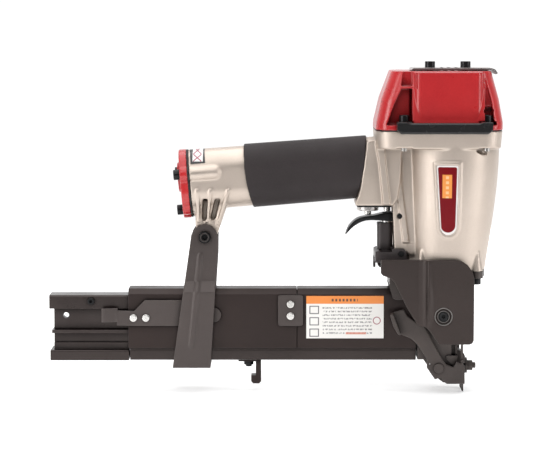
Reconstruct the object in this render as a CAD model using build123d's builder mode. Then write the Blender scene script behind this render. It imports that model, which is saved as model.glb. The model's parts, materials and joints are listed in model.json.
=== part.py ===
from build123d import *
import math
import os

# Pneumatic heavy-wire stapler with a long side-braced magazine, millimetres.
# +X toward the nose, +Y to the far side, +Z up. The driver runs down the Z axis.

os.makedirs("parts", exist_ok=True)

# ---- driving dimensions ----
BARREL_SECTIONS = ((98.0, -2.0, 31.5), (122.5, -0.8, 33.8), (159.0, 1.0, 37.0), (206.0, 1.5, 39.0))
BARREL_BOTTOM_Z = 98.0
BARREL_FLATTEN = 0.96
CAP_JOINT_Z = 216.0
CAP_TOP_Z = 264.0
HEAD_MID_X = -11.5
HEAD_LENGTH = 105.0
HEAD_DEPTH = 77.0
HEAD_CORNER_R = 16.0
CAP_SCREW_X = (-40.6, 27.4)
CAP_SCREW_Y = 31.5
CAP_SEAT_Z = 220.0
GUARD_EAR_T = 3.0
EAR_SEAT_IN = 24.5
EAR_SEAT_HALF = 7.4
GUARD_EAR_TOP_Z = 223.2
CAP_POCKET_IN = 20.0
CAP_RECESS_IN = 27.5
CAP_NOTCH_IN = 34.0
CAP_CORNER_R = 14.0
DEFLECTOR_SCREW_X = (-17.6, 12.0)

CYLINDER_BORE_R = 29.0
SLEEVE_OUTER_R = 25.6
SLEEVE_INNER_R = 22.6
PISTON_R = 22.5
PISTON_TOP_Z = 210.0
PISTON_BOTTOM_Z = 196.0
STROKE = 84.0
DRIVER_WIDTH = 11.4
DRIVER_THICKNESS = 1.5
DRIVER_TIP_Z = 84.0

HANDLE_TILT = math.radians(4.5)
HANDLE_ORIGIN = Vector(-172.0, 0.0, 175.9)
HANDLE_WIDTH = 40.0
HANDLE_REAR_HEIGHT = 51.0
HANDLE_FRONT_HEIGHT = 48.6
HANDLE_END_S = -45.7
GASKET_T = 1.5
END_CAP_T = 6.4
GRIP_T = 1.5
FIT_GAP = 0.05
END_SCREW_SIDE = 16.5
END_SCREW_UP = 6.4
END_SCREW_DOWN = -24.2
INLET_UP = 3.0
INLET_R = 5.72

TRIGGER_PIVOT = (-42.9, 143.5)
HOUSING_PIN = (-41.8, 112.1)
VALVE_X = -69.0
SAFETY_X = -52.9

MAG_REAR_X = -269.6
MAG_SEAM_X = -128.3
MAG_FRONT_X = -28.2
MAG_HALF = 14.0
MAG_WALL = 1.6
MAG_LOW_Z = 31.9
MAG_SHOULDER_Z = 77.5
MAG_TOP_Z = 82.0
MAG_ROOF_HALF = 9.6
DRAWER_REAR_X = -336.0
DRAWER_FRONT_X = -32.0
LOWER_Z = (21.6, 31.2)
LOWER_HALF = 12.0

STRAP_HOLE = (-205.4, 125.8)
YOKE_PIN = (-10.2, 16.4)
YOKE_IN = 20.2
YOKE_OUT = 22.2
SAFETY_TRAVEL = 4.0
COVER_OUT = 35.5
COVER_T = 2.2
COVER_SCREW = (-7.4, 61.6)
STUD_Z = 15.5
NOSE_SCREWS = ((20.3, 20.3), (20.3, -20.3), (-24.0, 20.0), (-24.0, -20.0))

HEAD_R_M5 = 4.25
HEAD_H_M5 = 5.2
SHANK_R_M5 = 2.5
THREAD_R_M5 = 2.6
CLEAR_R_M5 = 2.7
PIN_R = 2.0
PIN_HOLE_R = 2.05
STRAP_HOLE_R = 3.05
ROD_HOLE_R = 1.56
BASE_SCREW_X = -216.0
HOOK_SCREW_X = -169.0
BODY_HALF = 60.0


# ---- shared shapes ----
def side_slab(points, y_low, y_high):
    """Closed outline in the X-Z plane, thick along Y."""
    with BuildPart() as blank:
        with BuildSketch(Plane.XZ.offset(-y_high)):
            with BuildLine():
                Polyline(points, close=True)
            make_face()
        extrude(amount=y_high - y_low)
    return blank.part


def cross_slab(points, x_low, x_high):
    """Closed outline in the Y-Z plane, thick along X."""
    with BuildPart() as blank:
        with BuildSketch(Plane.YZ.offset(x_low)):
            with BuildLine():
                Polyline(points, close=True)
            make_face()
        extrude(amount=x_high - x_low)
    return blank.part


def rod_y(x, z, radius, y_low, y_high):
    """Round bar along Y."""
    with BuildPart() as bar:
        with BuildSketch(Plane.XZ.offset(-y_high)):
            with Locations((x, z)):
                Circle(radius)
        extrude(amount=y_high - y_low)
    return bar.part


def rod_z(x, y, radius, z_low, z_high):
    """Round bar along Z."""
    with BuildPart() as bar:
        with BuildSketch(Plane.XY.offset(z_low)):
            with Locations((x, y)):
                Circle(radius)
        extrude(amount=z_high - z_low)
    return bar.part


def rod_x(y, z, radius, x_low, x_high):
    """Round bar along X."""
    with BuildPart() as bar:
        with BuildSketch(Plane.YZ.offset(x_low)):
            with Locations((y, z)):
                Circle(radius)
        extrude(amount=x_high - x_low)
    return bar.part


def block(x_low, x_high, y_low, y_high, z_low, z_high):
    """Square-cornered block between six faces."""
    with BuildPart() as cube:
        with BuildSketch(Plane.XY.offset(z_low)):
            with Locations(((x_low + x_high) / 2, (y_low + y_high) / 2)):
                Rectangle(x_high - x_low, y_high - y_low)
        extrude(amount=z_high - z_low)
    return cube.part


def handle_plane(distance):
    """Plane across the handle at a distance along its axis from the grip's rear end."""
    along = Vector(math.cos(HANDLE_TILT), 0, math.sin(HANDLE_TILT))
    return Plane(origin=HANDLE_ORIGIN + along * distance, x_dir=(0, 1, 0), z_dir=along)


def handle_rod(side, up, radius, s_low, s_high):
    """Round bar parallel to the handle axis."""
    with BuildPart() as bar:
        with BuildSketch(handle_plane(s_low)):
            with Locations((side, up)):
                Circle(radius)
        extrude(amount=s_high - s_low)
    return bar.part


def handle_tube(extra, s_low, s_high):
    """Rounded tapering handle body, grown by extra all round."""
    span = 150.0
    drop = HANDLE_REAR_HEIGHT - HANDLE_FRONT_HEIGHT
    with BuildPart() as tube:
        for s in (s_low, s_high):
            height = HANDLE_REAR_HEIGHT - drop * (s - HANDLE_END_S) / span
            with BuildSketch(handle_plane(s)):
                RectangleRounded(HANDLE_WIDTH + 2 * extra, height + 2 * extra, 17.5 + extra)
        loft()
    return tube.part


def barrel(extra):
    """Cylinder housing skin, grown by extra."""
    with BuildPart() as skin:
        for z, centre, radius in BARREL_SECTIONS:
            with BuildSketch(Plane.XY.offset(z)):
                with Locations((centre, 0)):
                    Ellipse(radius + extra, radius * BARREL_FLATTEN + extra)
        loft()
    return skin.part


def socket_screw(plane, head_r, head_h, shank_r, shank_l):
    """Cap screw whose head stands on the plane and whose shank goes behind it."""
    with BuildPart() as screw:
        with BuildSketch(plane):
            Circle(head_r)
        extrude(amount=head_h)
        fillet(screw.edges().filter_by(GeomType.CIRCLE).group_by(Axis(plane.origin, plane.z_dir))[-1], 0.5)
        with BuildSketch(plane):
            Circle(shank_r)
        extrude(amount=-shank_l)
        with BuildSketch(plane.offset(head_h)):
            RegularPolygon(head_r * 0.54, 6)
        extrude(amount=-head_h * 0.6, mode=Mode.SUBTRACT)
    return screw.part


def coil(x, y, z_low, z_high, mean_r, wire_r, turns):
    """Round-wire compression spring along Z."""
    height = z_high - z_low - 2 * wire_r
    with BuildPart() as spring:
        with BuildLine(Plane(origin=(x, y, z_low + wire_r))) as path:
            Helix(pitch=height / turns, height=height, radius=mean_r)
        start = path.wires()[0]
        with BuildSketch(Plane(origin=start @ 0, z_dir=start % 0)):
            Circle(wire_r)
        sweep(path=start)
    return spring.part


def ring(x, y, z_low, z_high, inner, outer):
    """Plain ring round a Z axis."""
    with BuildPart() as band:
        with BuildSketch(Plane.XY.offset(z_low)):
            with Locations((x, y)):
                Circle(outer)
                Circle(inner, mode=Mode.SUBTRACT)
        extrude(amount=z_high - z_low)
    return band.part


def save(part, name):
    part.label = name
    export_step(part, "parts/" + name + ".step")


def save_group(items, name):
    group = Compound(children=list(items), label=name)
    export_step(group, "parts/" + name + ".step")


# ---- cylinder head cap ----
CAP_LEVELS = ((CAP_JOINT_Z, -64.0, 41.0, 38.5), (222.0, -63.6, 41.0, 38.5), (241.0, -59.4, 37.8, 35.0),
              (CAP_TOP_Z, -51.0, 31.8, 29.5))
BLOCK_X = (-33.5, 24.5)
BLOCK_MID_X = (BLOCK_X[0] + BLOCK_X[1]) / 2
BLOCK_Y = 38.2
BLOCK_LEFT = -34.2
BLOCK_CORNER_R = 7.0
ROOF_Z = 250.0
HEAD_VALVE_R = 26.5
HEAD_CHAMBER_TOP_Z = 252.0

with BuildPart() as cylinder_cap:
    for level_z, left, right, half in CAP_LEVELS:
        with BuildSketch(Plane.XY.offset(level_z)):
            with Locations(((left + right) / 2, 0)):
                RectangleRounded(right - left, 2 * half, CAP_CORNER_R)
    loft(ruled=True)
    with BuildSketch(Plane.XY.offset(CAP_JOINT_Z + 1.0)):
        with Locations((BLOCK_MID_X, 0)):
            RectangleRounded(BLOCK_X[1] - BLOCK_X[0], 2 * BLOCK_Y, BLOCK_CORNER_R)
    extrude(amount=CAP_TOP_Z - CAP_JOINT_Z - 1.6, taper=0.8)
    for side in (-1, 1):
        y_in, y_out = sorted((side * CAP_POCKET_IN, side * BODY_HALF))
        left_pocket = ((-55.4, CAP_SEAT_Z), (BLOCK_LEFT, CAP_SEAT_Z), (BLOCK_LEFT, ROOF_Z), (-43.0, ROOF_Z),
                       (-49.4, 237.0))
        add(side_slab(left_pocket, y_in, y_out), mode=Mode.SUBTRACT)
        right_pocket = ((25.2, CAP_SEAT_Z), (33.4, CAP_SEAT_Z), (31.0, 238.0), (26.6, 256.0), (25.2, 256.0))
        add(side_slab(right_pocket, y_in, y_out), mode=Mode.SUBTRACT)
        upper_in, upper_out = sorted((side * CAP_RECESS_IN, side * BODY_HALF))
        upper_left = ((-43.4, ROOF_Z + 1.8), (BLOCK_LEFT, ROOF_Z + 1.8), (BLOCK_LEFT, CAP_TOP_Z + 1),
                      (-41.4, CAP_TOP_Z + 1))
        add(side_slab(upper_left, upper_in, upper_out), mode=Mode.SUBTRACT)
        notch = ((BLOCK_LEFT, ROOF_Z), (-30.2, ROOF_Z), (-30.2, CAP_TOP_Z + 1), (BLOCK_LEFT, CAP_TOP_Z + 1))
        notch_in, notch_out = sorted((side * CAP_NOTCH_IN, side * BODY_HALF))
        add(side_slab(notch, notch_in, notch_out), mode=Mode.SUBTRACT)
        for screw_x in CAP_SCREW_X:
            add(rod_z(screw_x, side * CAP_SCREW_Y, 5.8, CAP_SEAT_Z, 233.0), mode=Mode.SUBTRACT)
            add(rod_z(screw_x, side * CAP_SCREW_Y, CLEAR_R_M5, CAP_JOINT_Z - 1, CAP_SEAT_Z + 1),
                mode=Mode.SUBTRACT)
            ear_in, ear_out = sorted((side * EAR_SEAT_IN, side * BODY_HALF))
            add(block(screw_x - EAR_SEAT_HALF, screw_x + EAR_SEAT_HALF, ear_in, ear_out, CAP_SEAT_Z,
                      GUARD_EAR_TOP_Z + 0.2), mode=Mode.SUBTRACT)
    add(rod_z(0, 0, HEAD_VALVE_R + 0.1, CAP_JOINT_Z - 1, HEAD_CHAMBER_TOP_Z), mode=Mode.SUBTRACT)
    add(block(17.5, 27.0, -9.0, 9.0, 250.0, CAP_TOP_Z + 1), mode=Mode.SUBTRACT)
    for screw_x in DEFLECTOR_SCREW_X:
        add(rod_z(screw_x, 0, THREAD_R_M5, CAP_TOP_Z - 10.0, CAP_TOP_Z + 1), mode=Mode.SUBTRACT)
save(cylinder_cap.part, "cylinder_cap")

with BuildPart() as cap_gasket:
    with BuildSketch(Plane.XY.offset(CAP_JOINT_Z - 1.0)):
        with Locations((HEAD_MID_X, 0)):
            RectangleRounded(HEAD_LENGTH - 0.6, HEAD_DEPTH - 0.6, HEAD_CORNER_R)
        Circle(CYLINDER_BORE_R, mode=Mode.SUBTRACT)
        with Locations((CAP_SCREW_X[0], CAP_SCREW_Y), (CAP_SCREW_X[0], -CAP_SCREW_Y),
                       (CAP_SCREW_X[1], CAP_SCREW_Y), (CAP_SCREW_X[1], -CAP_SCREW_Y)):
            Circle(2.9, mode=Mode.SUBTRACT)
    extrude(amount=1.0)
save(cap_gasket.part, "cap_gasket")

# ---- exhaust deflector: slotted plate with its front end curled down ----
DEFLECTOR_Z = CAP_TOP_Z + 0.6
PLATE_T = 1.8
DEFLECTOR_PROFILE = ((-34.2, DEFLECTOR_Z + 0.6), (-33.0, DEFLECTOR_Z), (31.8, DEFLECTOR_Z),
                     (34.2, DEFLECTOR_Z - 1.2), (35.8, DEFLECTOR_Z - 3.4), (37.2, DEFLECTOR_Z - 2.4),
                     (35.2, DEFLECTOR_Z + 0.6), (32.4, DEFLECTOR_Z + PLATE_T), (-32.4, DEFLECTOR_Z + PLATE_T))
with BuildPart() as exhaust_deflector:
    add(side_slab(DEFLECTOR_PROFILE, -19.0, 19.0))
    for slot_x in (-8.0, -2.0, 4.0):
        with BuildSketch(Plane.XY.offset(DEFLECTOR_Z - 2)):
            with Locations((slot_x, 0)):
                SlotOverall(24, 2.6, rotation=90)
        extrude(amount=6, mode=Mode.SUBTRACT)
    for screw_x in DEFLECTOR_SCREW_X:
        add(rod_z(screw_x, 0, CLEAR_R_M5, DEFLECTOR_Z - 2, DEFLECTOR_Z + 4), mode=Mode.SUBTRACT)
save(exhaust_deflector.part, "exhaust_deflector")

deflector_screws = []
for screw_x in DEFLECTOR_SCREW_X:
    seat = Plane(origin=(screw_x, 0, DEFLECTOR_Z + PLATE_T), z_dir=(0, 0, 1))
    deflector_screws.append(socket_screw(seat, HEAD_R_M5, HEAD_H_M5, SHANK_R_M5, 11.0))

# ---- side guards: a bar held out on two ears under the cap screws ----
GUARD_X = (-48.2, 31.0)
GUARD_BAR_Y = (44.0, 52.0)
GUARD_BAR_Z = (213.4, 222.6)
for guard_name, side in (("side_guard_left", -1), ("side_guard_right", 1)):
    with BuildPart() as side_guard:
        for screw_x in CAP_SCREW_X:
            with BuildSketch(Plane.XY.offset(CAP_SEAT_Z + 0.02)):
                with Locations((screw_x, side * CAP_SCREW_Y)):
                    Circle(6.2)
                with Locations((screw_x, side * (CAP_SCREW_Y + 5.0))):
                    Rectangle(12.4, 10.0)
            extrude(amount=GUARD_EAR_T)
        for arm_low, arm_high in ((GUARD_X[0], GUARD_X[0] + 9.0), (GUARD_X[1] - 9.0, GUARD_X[1])):
            y_in, y_out = sorted((side * 39.0, side * 46.0))
            add(block(arm_low, arm_high, y_in, y_out, CAP_JOINT_Z, GUARD_EAR_TOP_Z))
        y_in, y_out = sorted((side * GUARD_BAR_Y[0], side * GUARD_BAR_Y[1]))
        bar_outline = ((GUARD_X[0] + 4, GUARD_BAR_Z[0]), (GUARD_X[1] - 4, GUARD_BAR_Z[0]),
                       (GUARD_X[1], GUARD_BAR_Z[0] + 4), (GUARD_X[1], GUARD_EAR_TOP_Z),
                       (GUARD_X[1] - 9, GUARD_EAR_TOP_Z), (GUARD_X[1] - 10, GUARD_BAR_Z[1]),
                       (GUARD_X[0] + 10, GUARD_BAR_Z[1]), (GUARD_X[0] + 9, GUARD_EAR_TOP_Z),
                       (GUARD_X[0], GUARD_EAR_TOP_Z), (GUARD_X[0], GUARD_BAR_Z[0] + 4))
        add(side_slab(bar_outline, y_in, y_out))
        outer_edges = side_guard.edges().filter_by(Axis.X).filter_by(lambda e: e.length > 40)
        fillet(outer_edges, 1.6)
        for screw_x in CAP_SCREW_X:
            add(rod_z(screw_x, side * CAP_SCREW_Y, 2.8, 210.0, 230.0), mode=Mode.SUBTRACT)
    save(side_guard.part, guard_name)

head_screws = deflector_screws
for screw_x in CAP_SCREW_X:
    for side in (-1, 1):
        seat = Plane(origin=(screw_x, side * CAP_SCREW_Y, CAP_SEAT_Z + GUARD_EAR_T + 0.04), z_dir=(0, 0, 1))
        head_screws.append(socket_screw(seat, HEAD_R_M5, HEAD_H_M5, SHANK_R_M5, 24.5))
save_group(head_screws, "head_screws")

# ---- head valve: sleeve valve that lifts off the cylinder ----
HEAD_VALVE_Z = 214.2
with BuildPart() as head_valve_piston:
    with BuildSketch(Plane.XY.offset(HEAD_VALVE_Z)):
        Circle(HEAD_VALVE_R)
    extrude(amount=20.0)
    with BuildSketch(Plane.XY.offset(HEAD_VALVE_Z)):
        Circle(20.0)
    extrude(amount=9.0, mode=Mode.SUBTRACT)
    with BuildSketch(Plane.XY.offset(HEAD_VALVE_Z + 12.0)):
        Circle(22.0)
        Circle(10.0, mode=Mode.SUBTRACT)
    extrude(amount=8.0, mode=Mode.SUBTRACT)
    with BuildSketch(Plane.XY.offset(HEAD_VALVE_Z + 6.0)):
        Circle(27.0)
        Circle(24.9, mode=Mode.SUBTRACT)
    extrude(amount=3.2, mode=Mode.SUBTRACT)
save(head_valve_piston.part, "head_valve_piston")
save(ring(0, 0, HEAD_VALVE_Z + 6.1, HEAD_VALVE_Z + 9.1, 24.95, 26.55), "head_valve_oring")
HEAD_SPRING_Z = (HEAD_VALVE_Z + 12.1, HEAD_CHAMBER_TOP_Z - 0.1)
save(coil(0, 0, HEAD_SPRING_Z[0], HEAD_SPRING_Z[1], 16.0, 1.1, 3.5), "head_valve_spring")

# ---- main casting: cylinder housing, neck, handle tube, trigger legs, brace lug ----
LEG_OUTLINE = ((-48.9, 160.0), (-48.9, 153.0), (-47.0, 113.0), (-45.0, 110.2), (-40.0, 110.2), (-37.4, 114.0),
               (-36.8, 121.0), (-26.0, 121.0), (-26.0, 196.0), (-44.0, 196.0))
LEG_Y = (10.4, 16.4)
RIDGE_OUTLINE = ((-41.6, 190.0), (-41.6, 170.0), (-35.4, 121.4), (-40.0, 121.4), (-44.4, 156.0), (-44.4,
                                                                                                  190.0))
RIDGE_OUT = 18.2
RIB_OUTLINE = ((-63.6, 204.0), (-60.6, 188.0), (-57.2, 153.4), (-51.2, 153.4), (-55.4, 188.0), (-56.5, 204.0))
GRIP_FRONT = ((-81.0, 150.0), (-80.2, 156.4), (-78.6, 159.0), (-76.6, 166.0), (-73.2, 185.0), (-70.2, 214.0))
NECK_OUTLINE = ((-80.2, 152.6), (-79.6, 156.4), (-78.0, 159.2), (-76.0, 166.0), (-72.7, 185.0), (-70.6,
                                                                                                 206.4),
                (-62.0, 207.5), (-40.0, 207.0), (-42.0, 196.0), (-43.0, 172.0), (-45.4, 158.0), (-48.9,
                                                                                                 152.6))
NECK_CORE = ((-60.0, 152.6), (-30.0, 152.6), (-20.0, 206.0), (-60.0, 206.0))
LUG_OUTLINE = ((-214.0, 166.0), (-212.6, 126.0), (-198.0, 122.0), (-194.4, 129.0), (-182.0, 166.0))
BADGE_OUTLINE = ((-14.3, 187.0), (4.1, 187.0), (3.2, 134.6), (1.0, 131.0), (-2.2, 129.0), (-5.6, 129.0),
                 (-8.8, 131.0), (-10.8, 134.6))
RIM_OUTLINE = ((-16.4, 189.6), (6.4, 189.6), (5.6, 134.0), (2.8, 129.0), (-1.4, 126.2), (-6.4, 126.2),
               (-10.6, 129.0), (-13.2, 134.0))
BADGE_DEPTH = 1.2
UNDERCUT = ((-9.4, 198.8), (-5.0, 196.2), (0.0, 195.4), (5.0, 196.2), (9.4, 198.8), (6.4, 201.4), (-6.4,
                                                                                                   201.4))
RIM_HEIGHT = 0.9
LUG_HALF = 13.6
FIN_LINES = (((-211.4, 166.0), (-210.6, 138.4)), ((-200.2, 166.0), (-203.4, 138.4)),
             ((-185.4, 166.0), (-194.2, 136.2)))
FIN_T = 2.6
FIN_SIDE = ((10.0, 136.2), (14.9, 136.2), (15.3, 141.0), (20.9, 163.0), (20.9, 166.0), (10.0, 166.0))
NECK_HALF = 21.5
NECK_BOTTOM_Z = 152.6

with BuildPart() as main_body:
    add(barrel(0))
    with BuildSketch(Plane.XY.offset(CAP_JOINT_Z - 1.05)):
        with Locations((HEAD_MID_X, 0)):
            RectangleRounded(HEAD_LENGTH, HEAD_DEPTH, HEAD_CORNER_R)
    extrude(amount=-14.5, taper=5)
    add(side_slab(NECK_OUTLINE, -NECK_HALF, NECK_HALF))
    add(side_slab(NECK_CORE, -LEG_Y[1], LEG_Y[1]))
    add(handle_tube(0, HANDLE_END_S, 128.0))
    for side in (-1, 1):
        y_in, y_out = sorted((side * LEG_Y[0], side * LEG_Y[1]))
        add(side_slab(LEG_OUTLINE, y_in, y_out))
        y_in, y_out = sorted((side * 12.0, side * RIDGE_OUT))
        add(side_slab(RIDGE_OUTLINE, y_in, y_out))
        y_in, y_out = sorted((side * 15.0, side * 24.5))
        add(side_slab(RIB_OUTLINE, y_in, y_out))
    for nose_x, nose_y in NOSE_SCREWS:
        with BuildSketch(Plane.XY.offset(BARREL_BOTTOM_Z)):
            with Locations((nose_x, nose_y)):
                Circle(6.0)
        extrude(amount=18.0, taper=10)
    add(side_slab(LUG_OUTLINE, -LUG_HALF, LUG_HALF))
    for side in (-1, 1):
        for (top_x, top_z), (foot_x, foot_z) in FIN_LINES:
            y_in, y_out = sorted((side * 9.0, side * 22.0))
            fin = side_slab(((top_x - FIN_T / 2, top_z), (top_x + FIN_T / 2, top_z),
                             (foot_x + FIN_T / 2, foot_z), (foot_x - FIN_T / 2, foot_z)), y_in, y_out)
            add(fin & cross_slab([(side * y, z) for y, z in FIN_SIDE], -225.0, -170.0))
    add(rod_y(STRAP_HOLE[0], STRAP_HOLE[1], 9.6, -LUG_HALF, LUG_HALF))
    for side in (-1, 1):
        add(handle_rod(side * END_SCREW_SIDE, END_SCREW_UP, 6.6, HANDLE_END_S, -24.5))
        boss_end = handle_plane(-24.5).from_local_coords(Vector(side * END_SCREW_SIDE, END_SCREW_UP, 0))
        with Locations(boss_end):
            Sphere(6.6)
        add(handle_rod(side * 7.6, -21.0, 6.6, HANDLE_END_S, -30.0))
    add(handle_rod(0, END_SCREW_DOWN, 6.4, HANDLE_END_S, -26.0))
    rim = side_slab(RIM_OUTLINE, -BODY_HALF, -20.0) & barrel(RIM_HEIGHT)
    add(rim)
    pocket = side_slab(BADGE_OUTLINE, -BODY_HALF, -20.0) - barrel(-BADGE_DEPTH)
    add(pocket, mode=Mode.SUBTRACT)
    add(rod_z(0, 0, CYLINDER_BORE_R, BARREL_BOTTOM_Z + 6.0, CAP_JOINT_Z + 1), mode=Mode.SUBTRACT)
    add(rod_z(0, 0, SLEEVE_OUTER_R + FIT_GAP, BARREL_BOTTOM_Z - 1, BARREL_BOTTOM_Z + 7), mode=Mode.SUBTRACT)
    with BuildSketch(handle_plane(HANDLE_END_S - 1)):
        RectangleRounded(26.0, 38.0, 11)
    with BuildSketch(handle_plane(118.0)):
        RectangleRounded(28.0, 34.0, 11)
    loft(mode=Mode.SUBTRACT)
    add(rod_z(VALVE_X, 0, 9.0, NECK_BOTTOM_Z - 1, 176.0), mode=Mode.SUBTRACT)
    for side in (-1, 1):
        for screw_x in CAP_SCREW_X:
            add(rod_z(screw_x, side * CAP_SCREW_Y, THREAD_R_M5, 190.0, CAP_JOINT_Z + 1), mode=Mode.SUBTRACT)
            under_in, under_out = sorted((side * 26.6, side * BODY_HALF))
            undercut = side_slab([(screw_x + across, z) for across, z in UNDERCUT], under_in, under_out)
            add(undercut, mode=Mode.SUBTRACT)
        add(handle_rod(side * END_SCREW_SIDE, END_SCREW_UP, THREAD_R_M5, HANDLE_END_S - 1, -28.0),
            mode=Mode.SUBTRACT)
    add(handle_rod(0, END_SCREW_DOWN, THREAD_R_M5, HANDLE_END_S - 1, -28.0), mode=Mode.SUBTRACT)
    for nose_x, nose_y in NOSE_SCREWS:
        add(rod_z(nose_x, nose_y, THREAD_R_M5, BARREL_BOTTOM_Z - 1, BARREL_BOTTOM_Z + 9), mode=Mode.SUBTRACT)
    add(rod_y(TRIGGER_PIVOT[0], TRIGGER_PIVOT[1], PIN_HOLE_R, -30, 30), mode=Mode.SUBTRACT)
    add(rod_y(HOUSING_PIN[0], HOUSING_PIN[1], PIN_HOLE_R, -30, 30), mode=Mode.SUBTRACT)
    add(rod_y(STRAP_HOLE[0], STRAP_HOLE[1], STRAP_HOLE_R, -30, 30), mode=Mode.SUBTRACT)
    first_slot = ((-206.8, 158.0), (-202.6, 158.0), (-203.6, 141.0), (-206.4, 138.6), (-207.6, 141.0))
    second_slot = ((-196.6, 158.0), (-192.2, 158.0), (-196.4, 141.0), (-199.0, 139.4), (-200.6, 141.4))
    for slot_outline in (first_slot, second_slot):
        add(side_slab(slot_outline, -30.0, -9.0), mode=Mode.SUBTRACT)
        add(side_slab(slot_outline, 9.0, 30.0), mode=Mode.SUBTRACT)
    with BuildSketch(Plane.XY.offset(208.0)):
        with Locations((HEAD_MID_X - 34.0, 0)):
            RectangleRounded(14.0, 36.0, 6)
    extrude(amount=10.0, mode=Mode.SUBTRACT)
save(main_body.part, "main_body")

with BuildPart() as name_badge:
    add(side_slab(BADGE_OUTLINE, -BODY_HALF, -20.0) & barrel(-0.25))
    add(barrel(-BADGE_DEPTH + 0.02), mode=Mode.SUBTRACT)
save(name_badge.part, "name_badge")

# ---- cylinder group ----
with BuildPart() as cylinder_sleeve:
    with BuildSketch(Plane.XY.offset(BARREL_BOTTOM_Z + 0.2)):
        Circle(SLEEVE_OUTER_R)
    extrude(amount=CAP_JOINT_Z - 2.2 - BARREL_BOTTOM_Z - 0.2)
    for collar_z in (130.0, 200.0):
        add(ring(0, 0, collar_z, collar_z + 9.0, SLEEVE_INNER_R, CYLINDER_BORE_R - FIT_GAP))
        add(ring(0, 0, collar_z + 3.0, collar_z + 6.2, SLEEVE_OUTER_R + 1.0, CYLINDER_BORE_R + 1),
            mode=Mode.SUBTRACT)
    add(rod_z(0, 0, SLEEVE_INNER_R, 90.0, 220.0), mode=Mode.SUBTRACT)
    for turn in range(8):
        angle = math.radians(turn * 45 + 22.5)
        direction = Vector(math.cos(angle), math.sin(angle), 0)
        with BuildSketch(Plane(origin=Vector(0, 0, 122.0) + direction * 20, z_dir=direction)):
            Circle(2.0)
        extrude(amount=10.0, mode=Mode.SUBTRACT)
save(cylinder_sleeve.part, "cylinder_sleeve")
save_group([ring(0, 0, 133.1, 136.1, SLEEVE_OUTER_R + 1.05, CYLINDER_BORE_R - 0.1),
            ring(0, 0, 203.1, 206.1, SLEEVE_OUTER_R + 1.05, CYLINDER_BORE_R - 0.1)], "cylinder_orings")

with BuildPart() as drive_piston:
    add(rod_z(0, 0, PISTON_R, PISTON_BOTTOM_Z, PISTON_TOP_Z))
    add(ring(0, 0, PISTON_BOTTOM_Z + 6.0, PISTON_BOTTOM_Z + 9.4, PISTON_R - 2.0, PISTON_R + 2),
        mode=Mode.SUBTRACT)
    add(rod_z(0, 0, 8.0, PISTON_BOTTOM_Z - 6.0, PISTON_BOTTOM_Z + 1))
    add(rod_z(0, 0, 12.0, PISTON_TOP_Z - 4.0, PISTON_TOP_Z + 1), mode=Mode.SUBTRACT)
    driver_slot = block(-DRIVER_THICKNESS / 2 - 0.02, DRIVER_THICKNESS / 2 + 0.02, -DRIVER_WIDTH / 2 - 0.02,
                        DRIVER_WIDTH / 2 + 0.02, PISTON_BOTTOM_Z - 7, PISTON_BOTTOM_Z + 3)
    add(driver_slot, mode=Mode.SUBTRACT)
save(drive_piston.part, "drive_piston")
save(ring(0, 0, PISTON_BOTTOM_Z + 6.1, PISTON_BOTTOM_Z + 9.3, PISTON_R - 1.95, PISTON_R + 0.02), "piston_oring")
save(block(-DRIVER_THICKNESS / 2, DRIVER_THICKNESS / 2, -DRIVER_WIDTH / 2, DRIVER_WIDTH / 2,
           DRIVER_TIP_Z, PISTON_BOTTOM_Z + 2.9), "driver_blade")

BUMPER_TOP_Z = PISTON_BOTTOM_Z - STROKE - 6.1
with BuildPart() as bumper:
    add(ring(0, 0, BARREL_BOTTOM_Z + 0.2, BUMPER_TOP_Z, 8.5, SLEEVE_INNER_R - 0.05))
    add(ring(0, 0, BUMPER_TOP_Z - 3.0, BUMPER_TOP_Z + 5.8, 12.0, SLEEVE_INNER_R - 4.0))
save(bumper.part, "bumper")

# ---- grip sleeve: slanted front end, bowed rear end ----
GRIP_SIDE = ((-172.8, 205.0), (-173.0, 197.0), (-172.4, 184.0), (-170.4, 170.5), (-167.8, 160.0),
             (-163.4, 146.0), *GRIP_FRONT, (-172.8, 214.0))
with BuildPart() as grip_sleeve:
    add(handle_tube(GRIP_T, -12.0, 112.0))
    add(handle_tube(FIT_GAP, -13.0, 113.0), mode=Mode.SUBTRACT)
    add(side_slab(GRIP_SIDE, -40.0, 40.0), mode=Mode.INTERSECT)
save(grip_sleeve.part, "grip_sleeve")

# ---- end cap with the air inlet ----
CAP_S = HANDLE_END_S - GASKET_T - END_CAP_T
HUB_S = CAP_S + 10.0


def end_outline(plane, extra):
    """Outline shared by the end cap and its gasket."""
    with BuildSketch(plane) as outline:
        RectangleRounded(HANDLE_WIDTH + 2 * extra, HANDLE_REAR_HEIGHT + 2 * extra, 18)
        with Locations((END_SCREW_SIDE, END_SCREW_UP), (-END_SCREW_SIDE, END_SCREW_UP)):
            Circle(6.8 + extra)
        with Locations((0, END_SCREW_DOWN)):
            Circle(6.6 + extra)
        with Locations((8.0, -20.6), (-8.0, -20.6)):
            Circle(7.0 + extra)
    return outline.sketch


END_SCREWS = ((END_SCREW_SIDE, END_SCREW_UP), (-END_SCREW_SIDE, END_SCREW_UP), (0, END_SCREW_DOWN))
with BuildPart() as end_cap:
    extrude(end_outline(handle_plane(CAP_S), 0.6), amount=END_CAP_T)
    with BuildSketch(handle_plane(CAP_S - 2.2)):
        with Locations((0, INLET_UP)):
            Circle(12.4)
    extrude(amount=4.0, taper=-6)
    add(handle_rod(0, INLET_UP, 9.4, CAP_S, HUB_S))
    add(handle_rod(0, INLET_UP, INLET_R, CAP_S - 4, HUB_S + 2), mode=Mode.SUBTRACT)
    for side, up in END_SCREWS:
        add(handle_rod(side, up, CLEAR_R_M5, CAP_S - 4, CAP_S + END_CAP_T + 1), mode=Mode.SUBTRACT)
save(end_cap.part, "end_cap")

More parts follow.
